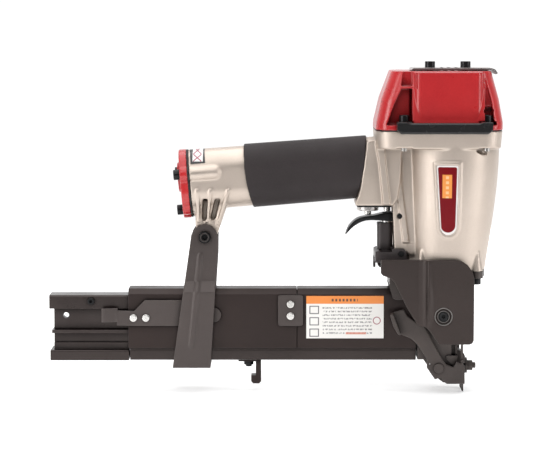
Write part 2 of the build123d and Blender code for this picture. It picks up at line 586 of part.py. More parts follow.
with BuildPart() as end_gasket:
    extrude(end_outline(handle_plane(CAP_S + END_CAP_T + 0.01), 0.2), amount=GASKET_T - 0.03)
    add(handle_rod(0, INLET_UP, 10.0, CAP_S, HUB_S + 4), mode=Mode.SUBTRACT)
    for side, up in END_SCREWS:
        add(handle_rod(side, up, CLEAR_R_M5, CAP_S, HUB_S + 4), mode=Mode.SUBTRACT)
save(end_gasket.part, "end_cap_gasket")

end_screws = []
for side, up in END_SCREWS:
    seat = handle_plane(CAP_S - 0.02).from_local_coords(Vector(side, up, 0))
    outward = Plane(origin=seat, z_dir=-handle_plane(0).z_dir)
    end_screws.append(socket_screw(outward, HEAD_R_M5, HEAD_H_M5, SHANK_R_M5, 16.0))
save_group(end_screws, "end_cap_screws")

# ---- side sticker on the handle ----
with BuildPart() as handle_sticker:
    add(handle_tube(0.35, HANDLE_END_S + 0.4, -28.0))
    add(handle_tube(0.03, HANDLE_END_S - 1.0, -27.0), mode=Mode.SUBTRACT)
    add(side_slab(((-216.8, 187.1), (-204.8, 188.1), (-206.2, 206.0), (-218.4, 205.0)), -40.0, -3.0),
        mode=Mode.INTERSECT)
save(handle_sticker.part, "handle_sticker")

# ---- trigger group ----
with BuildPart() as trigger_lever:
    top_edge = ((-88.3, 126.0), (-87.3, 128.4), (-86.0, 131.9), (-83.0, 136.1), (-78.0, 140.2), (-72.0,
                                                                                                 142.0),
                (-64.5, 143.1), (-59.0, 144.4), (-48.0, 145.6), (-40.6, 147.0))
    under_edge = ((-39.4, 141.6), (-43.0, 139.6), (-48.0, 138.4), (-62.5, 139.0), (-72.8, 138.2), (-78.8,
                                                                                                   135.3),
                  (-84.0, 130.9), (-88.9, 125.2))
    with BuildSketch(Plane.XZ.offset(-7.6)):
        with BuildLine():
            Spline(*top_edge[:-1])
            Line(top_edge[-2], top_edge[-1])
            Line(top_edge[-1], under_edge[0])
            Polyline(under_edge[:3])
            Spline(*under_edge[2:])
            Line(under_edge[-1], top_edge[0])
        make_face()
    extrude(amount=15.2)
    add(rod_y(TRIGGER_PIVOT[0], TRIGGER_PIVOT[1], 4.2, -10.0, 10.0))
    add(rod_y(TRIGGER_PIVOT[0], TRIGGER_PIVOT[1], PIN_HOLE_R, -12.0, 12.0), mode=Mode.SUBTRACT)
    add(block(SAFETY_X - 3.6, SAFETY_X + 3.6, -3.6, 3.6, 130.0, 150.0), mode=Mode.SUBTRACT)
save(trigger_lever.part, "trigger_lever")

with BuildPart() as valve_plate:
    add(block(-78.4, -49.6, -13.6, 13.6, NECK_BOTTOM_Z - 2.05, NECK_BOTTOM_Z - 0.02))
    fillet(valve_plate.edges().filter_by(Axis.Z), 3.0)
    add(rod_z(VALVE_X, 0, 6.2, 140.0, 160.0), mode=Mode.SUBTRACT)
save(valve_plate.part, "valve_plate")

DISC_Z = (146.9, NECK_BOTTOM_Z - 2.07)
with BuildPart() as trigger_valve_body:
    add(rod_z(VALVE_X, 0, 9.1, DISC_Z[0], DISC_Z[1]))
    fillet(trigger_valve_body.edges().filter_by(GeomType.CIRCLE).group_by(Axis.Z)[0], 0.8)
    add(rod_z(VALVE_X, 0, 6.0, DISC_Z[1] - 0.5, 172.0))
    add(rod_z(VALVE_X, 0, 4.2, 153.0, 173.0), mode=Mode.SUBTRACT)
    add(rod_z(VALVE_X, 0, 3.0, 140.0, 160.0), mode=Mode.SUBTRACT)
save(trigger_valve_body.part, "trigger_valve_body")

with BuildPart() as trigger_valve_stem:
    add(rod_z(VALVE_X, 0, 2.95, 143.3, 155.0))
    fillet(trigger_valve_stem.edges().group_by(Axis.Z)[0], 0.5)
    add(rod_z(VALVE_X, 0, 4.12, 153.2, 156.0))
    add(rod_z(VALVE_X, 0, 1.5, 155.0, 160.0))
save(trigger_valve_stem.part, "trigger_valve_stem")
save(coil(VALVE_X, 0, 156.1, 171.8, 2.9, 0.4, 6), "trigger_valve_spring")

# ---- contact safety: housing between the legs, sliding arm and contact yoke ----
HOUSING_Z = (104.6, 137.0)
BORE_X = SAFETY_X
with BuildPart() as safety_housing:
    with BuildSketch(Plane.XY.offset(114.0)):
        with Locations((-54.7, 0)):
            RectangleRounded(13.0, 14.0, 4.0)
    extrude(amount=HOUSING_Z[1] - 114.0)
    base = ((-63.4, 104.6), (-40.0, 104.6), (-37.4, 107.0), (-37.4, 114.0), (-40.0, 116.4), (-49.4, 116.4),
            (-49.4, 113.4), (-59.6, 113.4), (-59.6, 115.0), (-63.4, 114.0))
    add(side_slab(base, -19.4, 19.4))
    add(block(-64.4, -62.4, -6.0, 6.0, 99.4, 108.0))
    for side in (-1, 1):
        y_in, y_out = sorted((side * 10.2, side * 16.6))
        add(block(-49.2, -30.0, y_in, y_out, 109.8, 120.0), mode=Mode.SUBTRACT)
    add(block(-41.0, -30.0, -9.0, 9.0, 100.0, 120.0), mode=Mode.SUBTRACT)
    add(rod_z(BORE_X, 0, 3.9, 108.0, 134.4), mode=Mode.SUBTRACT)
    add(rod_z(BORE_X, 0, ROD_HOLE_R, 100.0, 140.0), mode=Mode.SUBTRACT)
    add(rod_y(HOUSING_PIN[0], HOUSING_PIN[1], PIN_HOLE_R, -30, 30), mode=Mode.SUBTRACT)
save(safety_housing.part, "safety_housing")
save_group([rod_y(TRIGGER_PIVOT[0], TRIGGER_PIVOT[1], PIN_R, -17.0, 17.0),
            rod_y(HOUSING_PIN[0], HOUSING_PIN[1], PIN_R, -20.0, 20.0)], "leg_pins")
save_group([ring(BORE_X, 0, HOUSING_Z[1] + 0.05, HOUSING_Z[1] + 1.3, 1.7, 4.8),
            ring(BORE_X, 0, 146.4, NECK_BOTTOM_Z - 2.08, 1.7, 2.9)], "safety_bushings")

ARM_Y = (17.4, 19.4)
arm_side = ((8.6, 21.3), (10.4, 21.3), (10.4, 81.0), (-42.0, 81.0), (-46.0, 86.0), (-46.6, 97.6), (-51.4,
                                                                                                   97.6),
            (-51.4, 84.6), (-48.6, 75.0), (-46.0, 73.6), (8.6, 73.6))
with BuildPart() as safety_arm:
    for side in (-1, 1):
        y_in, y_out = sorted((side * ARM_Y[0], side * ARM_Y[1]))
        add(side_slab(arm_side, y_in, y_out))
        y_in, y_out = sorted((side * ARM_Y[0], side * (YOKE_OUT - 0.2)))
        add(block(8.6, 10.4, y_in, y_out, 21.3, 22.9))
    add(block(-51.4, -49.4, -ARM_Y[1], ARM_Y[1], 86.0, 97.6))
    add(block(-56.6, -49.4, -6.0, 6.0, 95.6, 97.6))
    add(rod_z(BORE_X, 0, 1.52, 94.0, 99.0), mode=Mode.SUBTRACT)
save(safety_arm.part, "safety_arm")

with BuildPart() as trip_rod:
    add(rod_z(BORE_X, 0, 1.5, 95.6, 141.4))
    add(rod_z(BORE_X, 0, 3.5, 108.6, 111.0))
save(trip_rod.part, "trip_rod")
save(coil(BORE_X, 0, 111.1, 134.3, 2.7, 0.45, 8), "safety_spring")

YOKE_OUTLINE = ((-49.0, 63.2), (-39.4, 65.9), (-36.3, 60.3), (-27.3, 53.9), (-21.8, 51.5), (-17.7, 44.2),
                 (-8.0, 24.9), (-4.0, 19.6), (2.5, 17.2), (4.8, 22.1), (11.5, 18.6), (11.9, 3.0), (-3.3, 3.0),
                 (-5.1, 4.3), (-8.1, 8.5), (-13.1, 6.8), (-20.0, 16.7), (-20.0, 24.0), (-28.1, 36.2),
                 (-32.9, 41.0), (-42.1, 45.0))
with BuildPart() as contact_yoke:
    for side in (-1, 1):
        y_in, y_out = sorted((side * YOKE_IN, side * YOKE_OUT))
        add(side_slab(YOKE_OUTLINE, y_in, y_out))
        y_in, y_out = sorted((side * 4.6, side * YOKE_OUT))
        add(side_slab(((9.9, 3.0), (11.7, 3.0), (11.7, 8.6), (9.9, 8.6)), y_in, y_out))
        y_in, y_out = sorted((side * 10.0, side * YOKE_OUT))
        add(side_slab(((-3.3, 3.0), (11.7, 3.0), (11.7, 4.8), (-2.2, 4.8)), y_in, y_out))
        y_in, y_out = sorted((side * 4.6, side * 10.0))
        add(side_slab(((9.9, 4.0), (9.9, -4.2), (10.7, -5.4), (11.7, -5.4), (11.7, 4.0)), y_in, y_out))
        add(block(8.6, 10.4, side * 21.2 - 1.0, side * 21.2 + 1.0, 17.0, 21.28))
    add(side_slab(((-51.2, 61.6), (-49.0, 63.2), (-42.1, 45.0), (-44.4, 45.6), (-48.4, 52.0)), -29.0,
                  -YOKE_IN))
    add(block(9.9, 11.7, -4.8, 4.8, 3.0, 6.4))
    add(rod_y(YOKE_PIN[0], YOKE_PIN[1], 2.56, -40, 40), mode=Mode.SUBTRACT)
    add(rod_y(-17.5, 19.8, 0.8, -40, 40), mode=Mode.SUBTRACT)
save(contact_yoke.part, "contact_yoke")

with BuildPart() as yoke_pin:
    add(rod_y(YOKE_PIN[0], YOKE_PIN[1], 2.5, -23.4, 23.4))
    add(rod_y(YOKE_PIN[0], YOKE_PIN[1], 4.2, -23.8, -22.5))
    add(rod_y(YOKE_PIN[0], YOKE_PIN[1], 4.2, 22.5, 23.8))
save(yoke_pin.part, "yoke_pin")

# ---- nose: black steel block bolted under the barrel ----
FLANGE_Z = (92.2, BARREL_BOTTOM_Z - 0.02)
NOSE_HALF = 15.0
NOSE_OUTLINE = ((-27.4, 93.0), (-27.4, 22.6), (-17.4, 22.6), (-14.6, 9.0), (-5.0, 2.0), (0.95, 2.0), (0.95,
                                                                                                      93.0))
with BuildPart() as nose_body:
    with BuildSketch(Plane.XY.offset(FLANGE_Z[0])):
        with Locations((BARREL_SECTIONS[0][1], 0)):
            Circle(BARREL_SECTIONS[0][2] - 0.3)
        with Locations(*NOSE_SCREWS):
            Circle(6.0)
    extrude(amount=FLANGE_Z[1] - FLANGE_Z[0])
    add(side_slab(NOSE_OUTLINE, -NOSE_HALF, NOSE_HALF))
    for side in (-1, 1):
        y_in, y_out = sorted((side * 9.0, side * 30.0))
        add(block(-30.0, 5.0, y_in, y_out, 0.0, 12.0), mode=Mode.SUBTRACT)
        y_in, y_out = sorted((side * 12.0, side * (COVER_OUT - COVER_T - 0.3)))
        add(rod_y(COVER_SCREW[0], COVER_SCREW[1], 4.6, y_in, y_out))
        y_in, y_out = sorted((side * 20.0, side * 40.0))
        add(rod_y(COVER_SCREW[0], COVER_SCREW[1], 2.1, y_in, y_out), mode=Mode.SUBTRACT)
    add(block(-0.95, 2.0, -6.1, 6.1, 0.0, 100.0), mode=Mode.SUBTRACT)
    add(block(-30.0, 0.0, -6.5, 6.5, 28.0, 83.0), mode=Mode.SUBTRACT)
    for nose_x, nose_y in NOSE_SCREWS:
        add(rod_z(nose_x, nose_y, THREAD_R_M5, 90.0, 100.0), mode=Mode.SUBTRACT)
    for pin_z in (YOKE_PIN[1], YOKE_PIN[1] + SAFETY_TRAVEL + 0.1):
        add(rod_y(YOKE_PIN[0], pin_z, 2.56, -30, 30), mode=Mode.SUBTRACT)
    add(block(YOKE_PIN[0] - 2.56, YOKE_PIN[0] + 2.56, -30, 30, YOKE_PIN[1],
              YOKE_PIN[1] + SAFETY_TRAVEL + 0.1),
        mode=Mode.SUBTRACT)
save(nose_body.part, "nose_body")

nose_screws = []
for nose_x, nose_y in NOSE_SCREWS:
    seat = Plane(origin=(nose_x, nose_y, FLANGE_Z[0] - 0.02), z_dir=(0, 0, -1))
    nose_screws.append(socket_screw(seat, HEAD_R_M5, HEAD_H_M5, SHANK_R_M5, 13.0))
save_group(nose_screws, "nose_screws")

with BuildPart() as front_plate:
    add(block(1.0, 6.0, -11.6, 11.6, 14.0, 91.6))
    add(block(4.4, 6.0, -13.8, 13.8, 15.6, 36.0))
    for side in (-1, 1):
        y_in, y_out = sorted((side * (NOSE_HALF + 0.3), side * 16.9))
        add(side_slab(((-3.3, 26.2), (-3.3, 23.2), (4.2, 15.6), (6.0, 15.6), (6.0, 26.2)), y_in, y_out))
        y_in, y_out = sorted((side * 13.0, side * 16.9))
        add(block(4.4, 6.0, y_in, y_out, 15.6, 26.2))
    chamfer(front_plate.edges().filter_by(Axis.Y).group_by(Axis.Z)[0], 1.6)
    add(rod_x(0, STUD_Z, 2.55, 2.6, 10.0), mode=Mode.SUBTRACT)
save(front_plate.part, "front_plate")

with BuildPart() as clamp_yoke:
    with BuildSketch(Plane.XZ.offset(-7.4)):
        with BuildLine():
            Line((6.1, 18.2), (13.3, 18.2))
            Line((13.3, 18.2), (13.3, 22.6))
            ThreePointArc((13.3, 22.6), (11.2, 27.6), (6.1, 29.6))
            Line((6.1, 29.6), (6.1, 18.2))
        make_face()
    extrude(amount=14.8)
save(clamp_yoke.part, "clamp_yoke")

with BuildPart() as clamp_stud:
    add(rod_x(0, STUD_Z, 2.5, 2.7, 22.6))
    chamfer(clamp_stud.edges().filter_by(GeomType.CIRCLE).group_by(Axis.X)[-1], 0.5)
save(clamp_stud.part, "clamp_stud")
with BuildPart() as clamp_washer:
    add(rod_x(0, STUD_Z, 6.6, 13.5, 15.2))
    add(rod_x(0, STUD_Z, 2.55, 13.0, 16.0), mode=Mode.SUBTRACT)
with BuildPart() as clamp_nut:
    with BuildSketch(Plane.YZ.offset(15.3)):
        with Locations((0, STUD_Z)):
            RegularPolygon(4.0, 6, major_radius=False, rotation=0)
    extrude(amount=4.6)
    add(rod_x(0, STUD_Z, 2.53, 14.0, 21.0), mode=Mode.SUBTRACT)
save_group([clamp_washer.part, clamp_nut.part], "clamp_nut")

# ---- nose covers: joggled cheek plates with an inward rim ----
COVER_OUTLINE = ((-59.3, 108.6), (-59.3, 97.4), (-57.6, 95.4), (-54.6, 94.4), (-51.0, 93.0), (-47.8, 89.6),
                 (-37.6, 68.6), (-29.4, 55.4), (-27.0, 53.6), (-21.8, 52.6), (-19.0, 49.8), (-10.8, 38.2),
                 (14.6, 38.2), (16.8, 39.4), (17.9, 41.6), (17.9, 93.0), (16.4, 99.0), (12.4, 104.6),
                 (7.4, 107.6), (3.0, 108.6))
COVER_CORE = ((-57.1, 106.4), (-57.1, 97.6), (-50.2, 94.6), (-46.2, 90.4), (-35.8, 69.4), (-27.8, 56.6),
              (-20.8, 54.4), (-9.6, 40.4), (15.7, 40.4), (15.7, 93.0), (11.4, 102.6), (3.0, 106.4))
JOGGLE_X = (-28.0, -21.0)
JOGGLE_DEPTH = 2.4
RIM_IN = 28.0
for cover_name, side in (("nose_cover_left", -1), ("nose_cover_right", 1)):
    with BuildPart() as nose_cover:
        y_in, y_out = sorted((side * RIM_IN, side * COVER_OUT))
        add(side_slab(COVER_OUTLINE, y_in, y_out))
        inner = side * (COVER_OUT - COVER_T)
        plan = ((JOGGLE_X[1], inner), (20.0, inner), (20.0, side * 20.0), (-62.0, side * 20.0),
                (-62.0, inner - side * JOGGLE_DEPTH), (JOGGLE_X[0], inner - side * JOGGLE_DEPTH))
        outside = ((JOGGLE_X[0], side * (COVER_OUT - JOGGLE_DEPTH)), (JOGGLE_X[1], side * COVER_OUT),
                   (JOGGLE_X[1], side * 50.0), (-62.0, side * 50.0), (-62.0,
                                                                      side * (COVER_OUT - JOGGLE_DEPTH)))
        with BuildSketch(Plane.XY.offset(30.0)):
            with BuildLine():
                Polyline(outside, close=True)
            make_face()
        extrude(amount=90.0, mode=Mode.SUBTRACT)
        with BuildSketch(Plane.XY.offset(30.0), mode=Mode.PRIVATE) as hollow_plan:
            with BuildLine():
                Polyline(plan, close=True)
            make_face()
        hollow = extrude(hollow_plan.sketch, amount=90.0, mode=Mode.PRIVATE)
        y_in, y_out = sorted((side * 15.0, side * 45.0))
        add(hollow & side_slab(COVER_CORE, y_in, y_out), mode=Mode.SUBTRACT)
        y_in, y_out = sorted((side * (COVER_OUT - 0.9), side * 50.0))
        add(rod_y(COVER_SCREW[0], COVER_SCREW[1], 7.6, y_in, y_out), mode=Mode.SUBTRACT)
        y_in, y_out = sorted((side * 20.0, side * 50.0))
        add(rod_y(COVER_SCREW[0], COVER_SCREW[1], 2.2, y_in, y_out), mode=Mode.SUBTRACT)
        add(barrel(0.6), mode=Mode.SUBTRACT)
    save(nose_cover.part, cover_name)

cover_screws = []
for side in (-1, 1):
    with BuildPart() as cover_screw:
        seat = Plane(origin=(COVER_SCREW[0], side * (COVER_OUT - 0.88), COVER_SCREW[1]), z_dir=(0, side, 0))
        with BuildSketch(seat):
            Circle(4.6)
        with BuildSketch(seat.offset(1.5)):
            Circle(3.2)
        loft()
        with BuildSketch(seat):
            Circle(2.0)
        extrude(amount=-10.0)
        with BuildSketch(seat.offset(1.6)):
            RegularPolygon(1.9, 6)
        extrude(amount=-1.4, mode=Mode.SUBTRACT)
    cover_screws.append(cover_screw.part)
save_group(cover_screws, "nose_cover_screws")

# ---- magazine housings: inverted channels, spliced half way ----
def channel(x_low, x_high):
    """Inverted sheet channel with sloped shoulders."""
    roof = MAG_ROOF_HALF
    inner_half = MAG_HALF - MAG_WALL
    with BuildPart() as shell:
        with BuildSketch(Plane.YZ.offset(x_low)):
            with BuildLine():
                Polyline((-MAG_HALF, MAG_LOW_Z), (-MAG_HALF, MAG_SHOULDER_Z), (-roof, MAG_TOP_Z), (roof,
                                                                                                   MAG_TOP_Z),
                         (MAG_HALF, MAG_SHOULDER_Z), (MAG_HALF, MAG_LOW_Z), (inner_half, MAG_LOW_Z),
                         (inner_half, MAG_SHOULDER_Z - 0.7), (roof - 0.7, MAG_TOP_Z - MAG_WALL),
                         (-roof + 0.7, MAG_TOP_Z - MAG_WALL), (-inner_half, MAG_SHOULDER_Z - 0.7),
                         (-inner_half, MAG_LOW_Z), close=True)
            make_face()
        extrude(amount=x_high - x_low)
    return shell.part


save(channel(MAG_SEAM_X + 0.15, MAG_FRONT_X), "magazine_front_housing")
save(channel(MAG_REAR_X, MAG_SEAM_X - 0.15), "magazine_rear_housing")

with BuildPart() as lower_rail:
    with BuildSketch(Plane.YZ.offset(MAG_REAR_X + 1.2)):
        with Locations((0, (LOWER_Z[0] + LOWER_Z[1]) / 2)):
            RectangleRounded(2 * LOWER_HALF, LOWER_Z[1] - LOWER_Z[0], 1.4)
            Rectangle(2 * LOWER_HALF - 3.2, LOWER_Z[1] - LOWER_Z[0] - 3.2, mode=Mode.SUBTRACT)
    extrude(amount=MAG_FRONT_X - 0.4 - MAG_REAR_X - 1.2)
    for side in (-1, 1):
        y_in, y_out = sorted((side * 10.2, side * 12.3))
        add(block(MAG_REAR_X + 1.2, MAG_FRONT_X - 0.4, y_in, y_out, LOWER_Z[1] - 0.8, 36.0))
save(lower_rail.part, "lower_rail")

SPLICE_X = (-144.3, -123.3)
SPLICE_Z = (51.0, 78.0)
SPLICE_OUT = MAG_HALF + 1.5
RIVET_X = -133.9
RIVET_Z = (69.3, 59.3)
splice_parts = []
for side in (-1, 1):
    y_in, y_out = sorted((side * (MAG_HALF + 0.02), side * SPLICE_OUT))
    with BuildPart() as splice:
        add(block(SPLICE_X[0], SPLICE_X[1], y_in, y_out, SPLICE_Z[0], SPLICE_Z[1] - 1.0))
        fillet(splice.edges().filter_by(Axis.Y), 2.2)
    splice_parts.append(splice.part)
save_group(splice_parts, "splice_plates")


def rivet(x, z, side, seat_y):
    """Low domed rivet head on a side wall."""
    plane = Plane(origin=(x, side * seat_y, z), z_dir=(0, side, 0))
    with BuildPart() as head:
        with BuildSketch(plane):
            Circle(3.2)
        extrude(amount=1.3)
        fillet(head.edges().filter_by(GeomType.CIRCLE).filter_by(
            lambda e: abs(e.center().Y) > seat_y + 1), 0.9)
    return head.part


rivets = [rivet(RIVET_X, z, side, SPLICE_OUT + 0.02) for side in (-1, 1) for z in RIVET_Z]

LABEL_X = (-120.6, -55.9)
LABEL_Z = (40.4, 76.2)
save(block(LABEL_X[0], LABEL_X[1], -MAG_HALF - 0.32, -MAG_HALF - 0.02, LABEL_Z[0], LABEL_Z[1]), "label_plate")

# ---- latch leaf riveted to the near wall ----
LEAF_Y = (-16.4, -15.0)
with BuildPart() as latch_leaf:
    leaf = ((-279.0, 51.6), (-262.0, 51.2), (-204.0, 51.2), (-204.0, 73.0), (-255.6, 73.0), (-264.4, 63.8),
            (-279.0, 64.2))
    add(side_slab(leaf, LEAF_Y[0], LEAF_Y[1]))
    with BuildSketch(Plane.XY.offset(54.6)):
        with BuildLine():
            Polyline((-278.4, LEAF_Y[1]), (-278.4, LEAF_Y[0]), (-281.4, -18.2), (-289.0, -19.6), (-291.6,
                                                                                                  -18.6),
                     (-291.2, -17.4), (-288.6, -18.2), (-282.2, -16.9), close=True)
        make_face()
    extrude(amount=11.6)
    add(block(-240.0, -210.0, LEAF_Y[1] - 0.1, -MAG_HALF - 0.02, 55.0, 69.0))
    add(block(-206.0, -197.9, LEAF_Y[0] + 0.2, LEAF_Y[1], 54.4, 66.4))
    add(rod_y(-197.9, 60.4, 6.0, LEAF_Y[0] + 0.2, LEAF_Y[1]))
save(latch_leaf.part, "latch_leaf")
rivets += [rivet(x, 57.9, -1, -LEAF_Y[0] + 0.02) for x in (-265.2, -254.8)]
save_group(rivets, "magazine_rivets")

# ---- sliding inner magazine ----
DRAWER_BOX_HALF = 11.0
DRAWER_WEB_HALF = 4.2
DRAWER_TOP_Z = (65.0, 76.4)
DRAWER_SHELF_Z = (44.2, 46.9)
WEB_LOW_Z = 36.0
with BuildPart() as drawer_core:
    add(block(DRAWER_REAR_X, DRAWER_FRONT_X, -DRAWER_BOX_HALF, DRAWER_BOX_HALF, DRAWER_TOP_Z[0],
              DRAWER_TOP_Z[1]))
    chamfer(drawer_core.edges().filter_by(Axis.X).group_by(Axis.Z)[-1], 1.2)
    add(block(DRAWER_REAR_X + 3.4, DRAWER_FRONT_X, -DRAWER_WEB_HALF, DRAWER_WEB_HALF, WEB_LOW_Z, 66.0))
    add(block(DRAWER_REAR_X + 2.0, DRAWER_FRONT_X, -DRAWER_BOX_HALF + 1, DRAWER_BOX_HALF - 1,
              DRAWER_SHELF_Z[0], DRAWER_SHELF_Z[1]))
    add(block(DRAWER_REAR_X - 1.0, DRAWER_FRONT_X + 2, -8.6, 8.6, DRAWER_TOP_Z[0] + 2, DRAWER_TOP_Z[1] - 2.2),
        mode=Mode.SUBTRACT)
    add(rod_y(-322.5, 58.6, 2.4, -10.0, 10.0), mode=Mode.SUBTRACT)
save(drawer_core.part, "drawer_core")

with BuildPart() as drawer_foot:
    add(block(DRAWER_REAR_X + 0.6, MAG_REAR_X + 0.3, -LOWER_HALF, LOWER_HALF, LOWER_Z[0] - 0.5,
              LOWER_Z[1] - 1.0))
    chamfer(drawer_foot.edges().filter_by(Axis.X), 1.0)
    add(block(DRAWER_REAR_X + 3.4, MAG_REAR_X + 0.3, -DRAWER_WEB_HALF - 2, DRAWER_WEB_HALF + 2, 30.0,
              WEB_LOW_Z))
    add(block(DRAWER_REAR_X, MAG_REAR_X + 1, -LOWER_HALF + 1.8, LOWER_HALF - 1.8, 22.6, 28.4),
        mode=Mode.SUBTRACT)
save(drawer_foot.part, "drawer_foot")

with BuildPart() as drawer_stop_screw:
    add(rod_y(-300.9, 71.4, 2.9, -DRAWER_BOX_HALF - 2.4, -DRAWER_BOX_HALF - 0.02))
    fillet(drawer_stop_screw.edges().filter_by(GeomType.CIRCLE).group_by(Axis.Y)[0], 0.6)
    with BuildSketch(Plane.XZ.offset(DRAWER_BOX_HALF + 2.4)):
        with Locations((-300.9, 71.4)):
            RegularPolygon(1.5, 6)
    extrude(amount=-1.4, mode=Mode.SUBTRACT)
save(drawer_stop_screw.part, "drawer_stop_screw")

PUSHER_X = (-74.0, -50.0)
PUSHER_HALF = 11.8
with BuildPart() as pusher:
    rear, front = PUSHER_X
    add(block(rear, front, -9.9, 9.9, 33.2, 35.7))
    for side in (-1, 1):
        y_in, y_out = sorted((side * (DRAWER_WEB_HALF + 0.4), side * 9.9))
        add(block(rear, front, y_in, y_out, 33.2, DRAWER_SHELF_Z[0] - 0.3))
        y_in, y_out = sorted((side * (DRAWER_WEB_HALF + 0.4), side * PUSHER_HALF))
        add(block(rear, front, y_in, y_out, DRAWER_SHELF_Z[1] + 0.3, DRAWER_TOP_Z[0] - 0.3))
        y_in, y_out = sorted((side * 9.0, side * PUSHER_HALF))
        add(block(rear, front, y_in, y_out, 37.0, DRAWER_SHELF_Z[0] - 0.3))
        y_in, y_out = sorted((side * 10.4, side * PUSHER_HALF))
        add(block(rear, front, y_in, y_out, 37.0, DRAWER_TOP_Z[0] - 0.3))
save(pusher.part, "pusher")

# ---- brace strap: two arms joined under the magazine ----
STRAP_T = 2.0
ARM_UPPER_Y = LUG_HALF + 0.3
ARM_LOWER_Y = 19.6
BEND_Z = (88.6, 79.6)
STRAP_FACE = ((-216.6, 128.0), (-214.6, 131.6), (-211.0, 135.2), (-205.4, 136.8), (-199.8, 135.2), (-196.2,
                                                                                                    131.6),
              (-194.4, 127.0), (-194.6, 110.0), (-196.4, 84.0), (-200.6, 16.4), (-232.4, 16.4))
with BuildPart() as support_strap:
    with BuildSketch(Plane.YZ.offset(-250.0)):
        for side in (-1, 1):
            with BuildLine():
                Polyline((side * ARM_UPPER_Y, 140.0), (side * ARM_UPPER_Y, BEND_Z[0]), (side * ARM_LOWER_Y,
                                                                                        BEND_Z[1]),
                         (side * ARM_LOWER_Y, 18.4), (0, 18.4), (0, 16.4), (side * (ARM_LOWER_Y + STRAP_T),
                                                                            16.4),
                         (side * (ARM_LOWER_Y + STRAP_T), BEND_Z[1] + 0.6),
                         (side * (ARM_UPPER_Y + STRAP_T), BEND_Z[0] + 0.6), (side * (ARM_UPPER_Y + STRAP_T),
                                                                             140.0),
                         close=True)
            make_face()
    extrude(amount=70.0)
    add(side_slab(STRAP_FACE, -40.0, 40.0), mode=Mode.INTERSECT)
    add(rod_y(STRAP_HOLE[0], STRAP_HOLE[1], STRAP_HOLE_R + FIT_GAP, -40, 40), mode=Mode.SUBTRACT)
    add(rod_z(BASE_SCREW_X, 0, THREAD_R_M5, 10.0, 20.0), mode=Mode.SUBTRACT)
save(support_strap.part, "support_strap")

strap_screws = []
for side in (-1, 1):
    seat = Plane(origin=(STRAP_HOLE[0], side * (ARM_UPPER_Y + STRAP_T + 0.02), STRAP_HOLE[1]), z_dir=(0,
                                                                                                      side, 0))
    strap_screws.append(socket_screw(seat, 4.6, 2.6, 2.9, 12.0))
save_group(strap_screws, "strap_screws")

with BuildPart() as strap_base_screw:
    add(rod_z(BASE_SCREW_X, 0, 4.4, 14.4, 16.38))
    add(rod_z(BASE_SCREW_X, 0, SHANK_R_M5, 14.4, 21.5))
    add(ring(BASE_SCREW_X, 0, 18.42, 21.5, 2.4, 6.0))

# ---- rest hook under the lower rail ----
HOOK_Y = 6.0
with BuildPart() as rest_hook:
    hook = ((-177.6, 21.5), (-177.6, 19.5), (-163.0, 19.5), (-163.0, 7.6), (-166.9, 7.6), (-166.9, 2.6),
            (-165.2, 0.7), (-160.2, 0.7), (-158.5, 2.6), (-158.5, 21.5))
    add(side_slab(hook, -HOOK_Y, HOOK_Y))
    add(rod_z(HOOK_SCREW_X, 0, THREAD_R_M5, 10.0, 30.0), mode=Mode.SUBTRACT)
save(rest_hook.part, "rest_hook")
with BuildPart() as hook_screw:
    add(rod_z(HOOK_SCREW_X, 0, 4.0, 16.2, 19.48))
    with BuildSketch(Plane.XY.offset(14.6)):
        with Locations((HOOK_SCREW_X, 0)):
            RegularPolygon(2.6, 6)
    extrude(amount=1.7)
    add(rod_z(HOOK_SCREW_X, 0, SHANK_R_M5, 19.0, 21.5))
save_group([strap_base_screw.part, hook_screw.part], "base_screws")
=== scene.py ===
"""Looks of a pneumatic floor stapler: procedural materials and cast, bevelled surfaces round the frame."""

import json
import math

import bmesh
import bpy
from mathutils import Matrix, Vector


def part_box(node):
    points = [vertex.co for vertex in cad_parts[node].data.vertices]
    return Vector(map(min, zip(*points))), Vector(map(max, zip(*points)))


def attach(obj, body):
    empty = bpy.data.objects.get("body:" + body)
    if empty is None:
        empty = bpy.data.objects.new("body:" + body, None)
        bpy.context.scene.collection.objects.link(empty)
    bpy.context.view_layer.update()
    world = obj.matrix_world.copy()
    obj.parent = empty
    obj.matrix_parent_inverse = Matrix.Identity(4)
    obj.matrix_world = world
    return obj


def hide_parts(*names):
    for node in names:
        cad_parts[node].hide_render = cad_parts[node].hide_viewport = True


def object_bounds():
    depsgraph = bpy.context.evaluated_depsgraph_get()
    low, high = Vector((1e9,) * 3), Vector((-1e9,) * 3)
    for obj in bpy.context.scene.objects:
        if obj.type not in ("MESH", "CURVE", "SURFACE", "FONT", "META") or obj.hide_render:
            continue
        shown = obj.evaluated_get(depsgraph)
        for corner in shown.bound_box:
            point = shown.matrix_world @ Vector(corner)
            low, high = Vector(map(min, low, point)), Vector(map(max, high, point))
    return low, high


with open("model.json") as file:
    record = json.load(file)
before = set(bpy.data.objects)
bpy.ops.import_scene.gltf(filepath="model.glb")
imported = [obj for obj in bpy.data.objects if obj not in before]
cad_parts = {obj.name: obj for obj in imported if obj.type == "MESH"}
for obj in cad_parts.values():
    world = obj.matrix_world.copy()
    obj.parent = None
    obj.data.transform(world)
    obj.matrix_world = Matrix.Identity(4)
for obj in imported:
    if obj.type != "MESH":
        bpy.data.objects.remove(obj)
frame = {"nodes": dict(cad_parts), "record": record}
CAD_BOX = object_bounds()
NODES = frame["nodes"]
MM = 0.001

# ---------------------------------------------------------------- node helpers


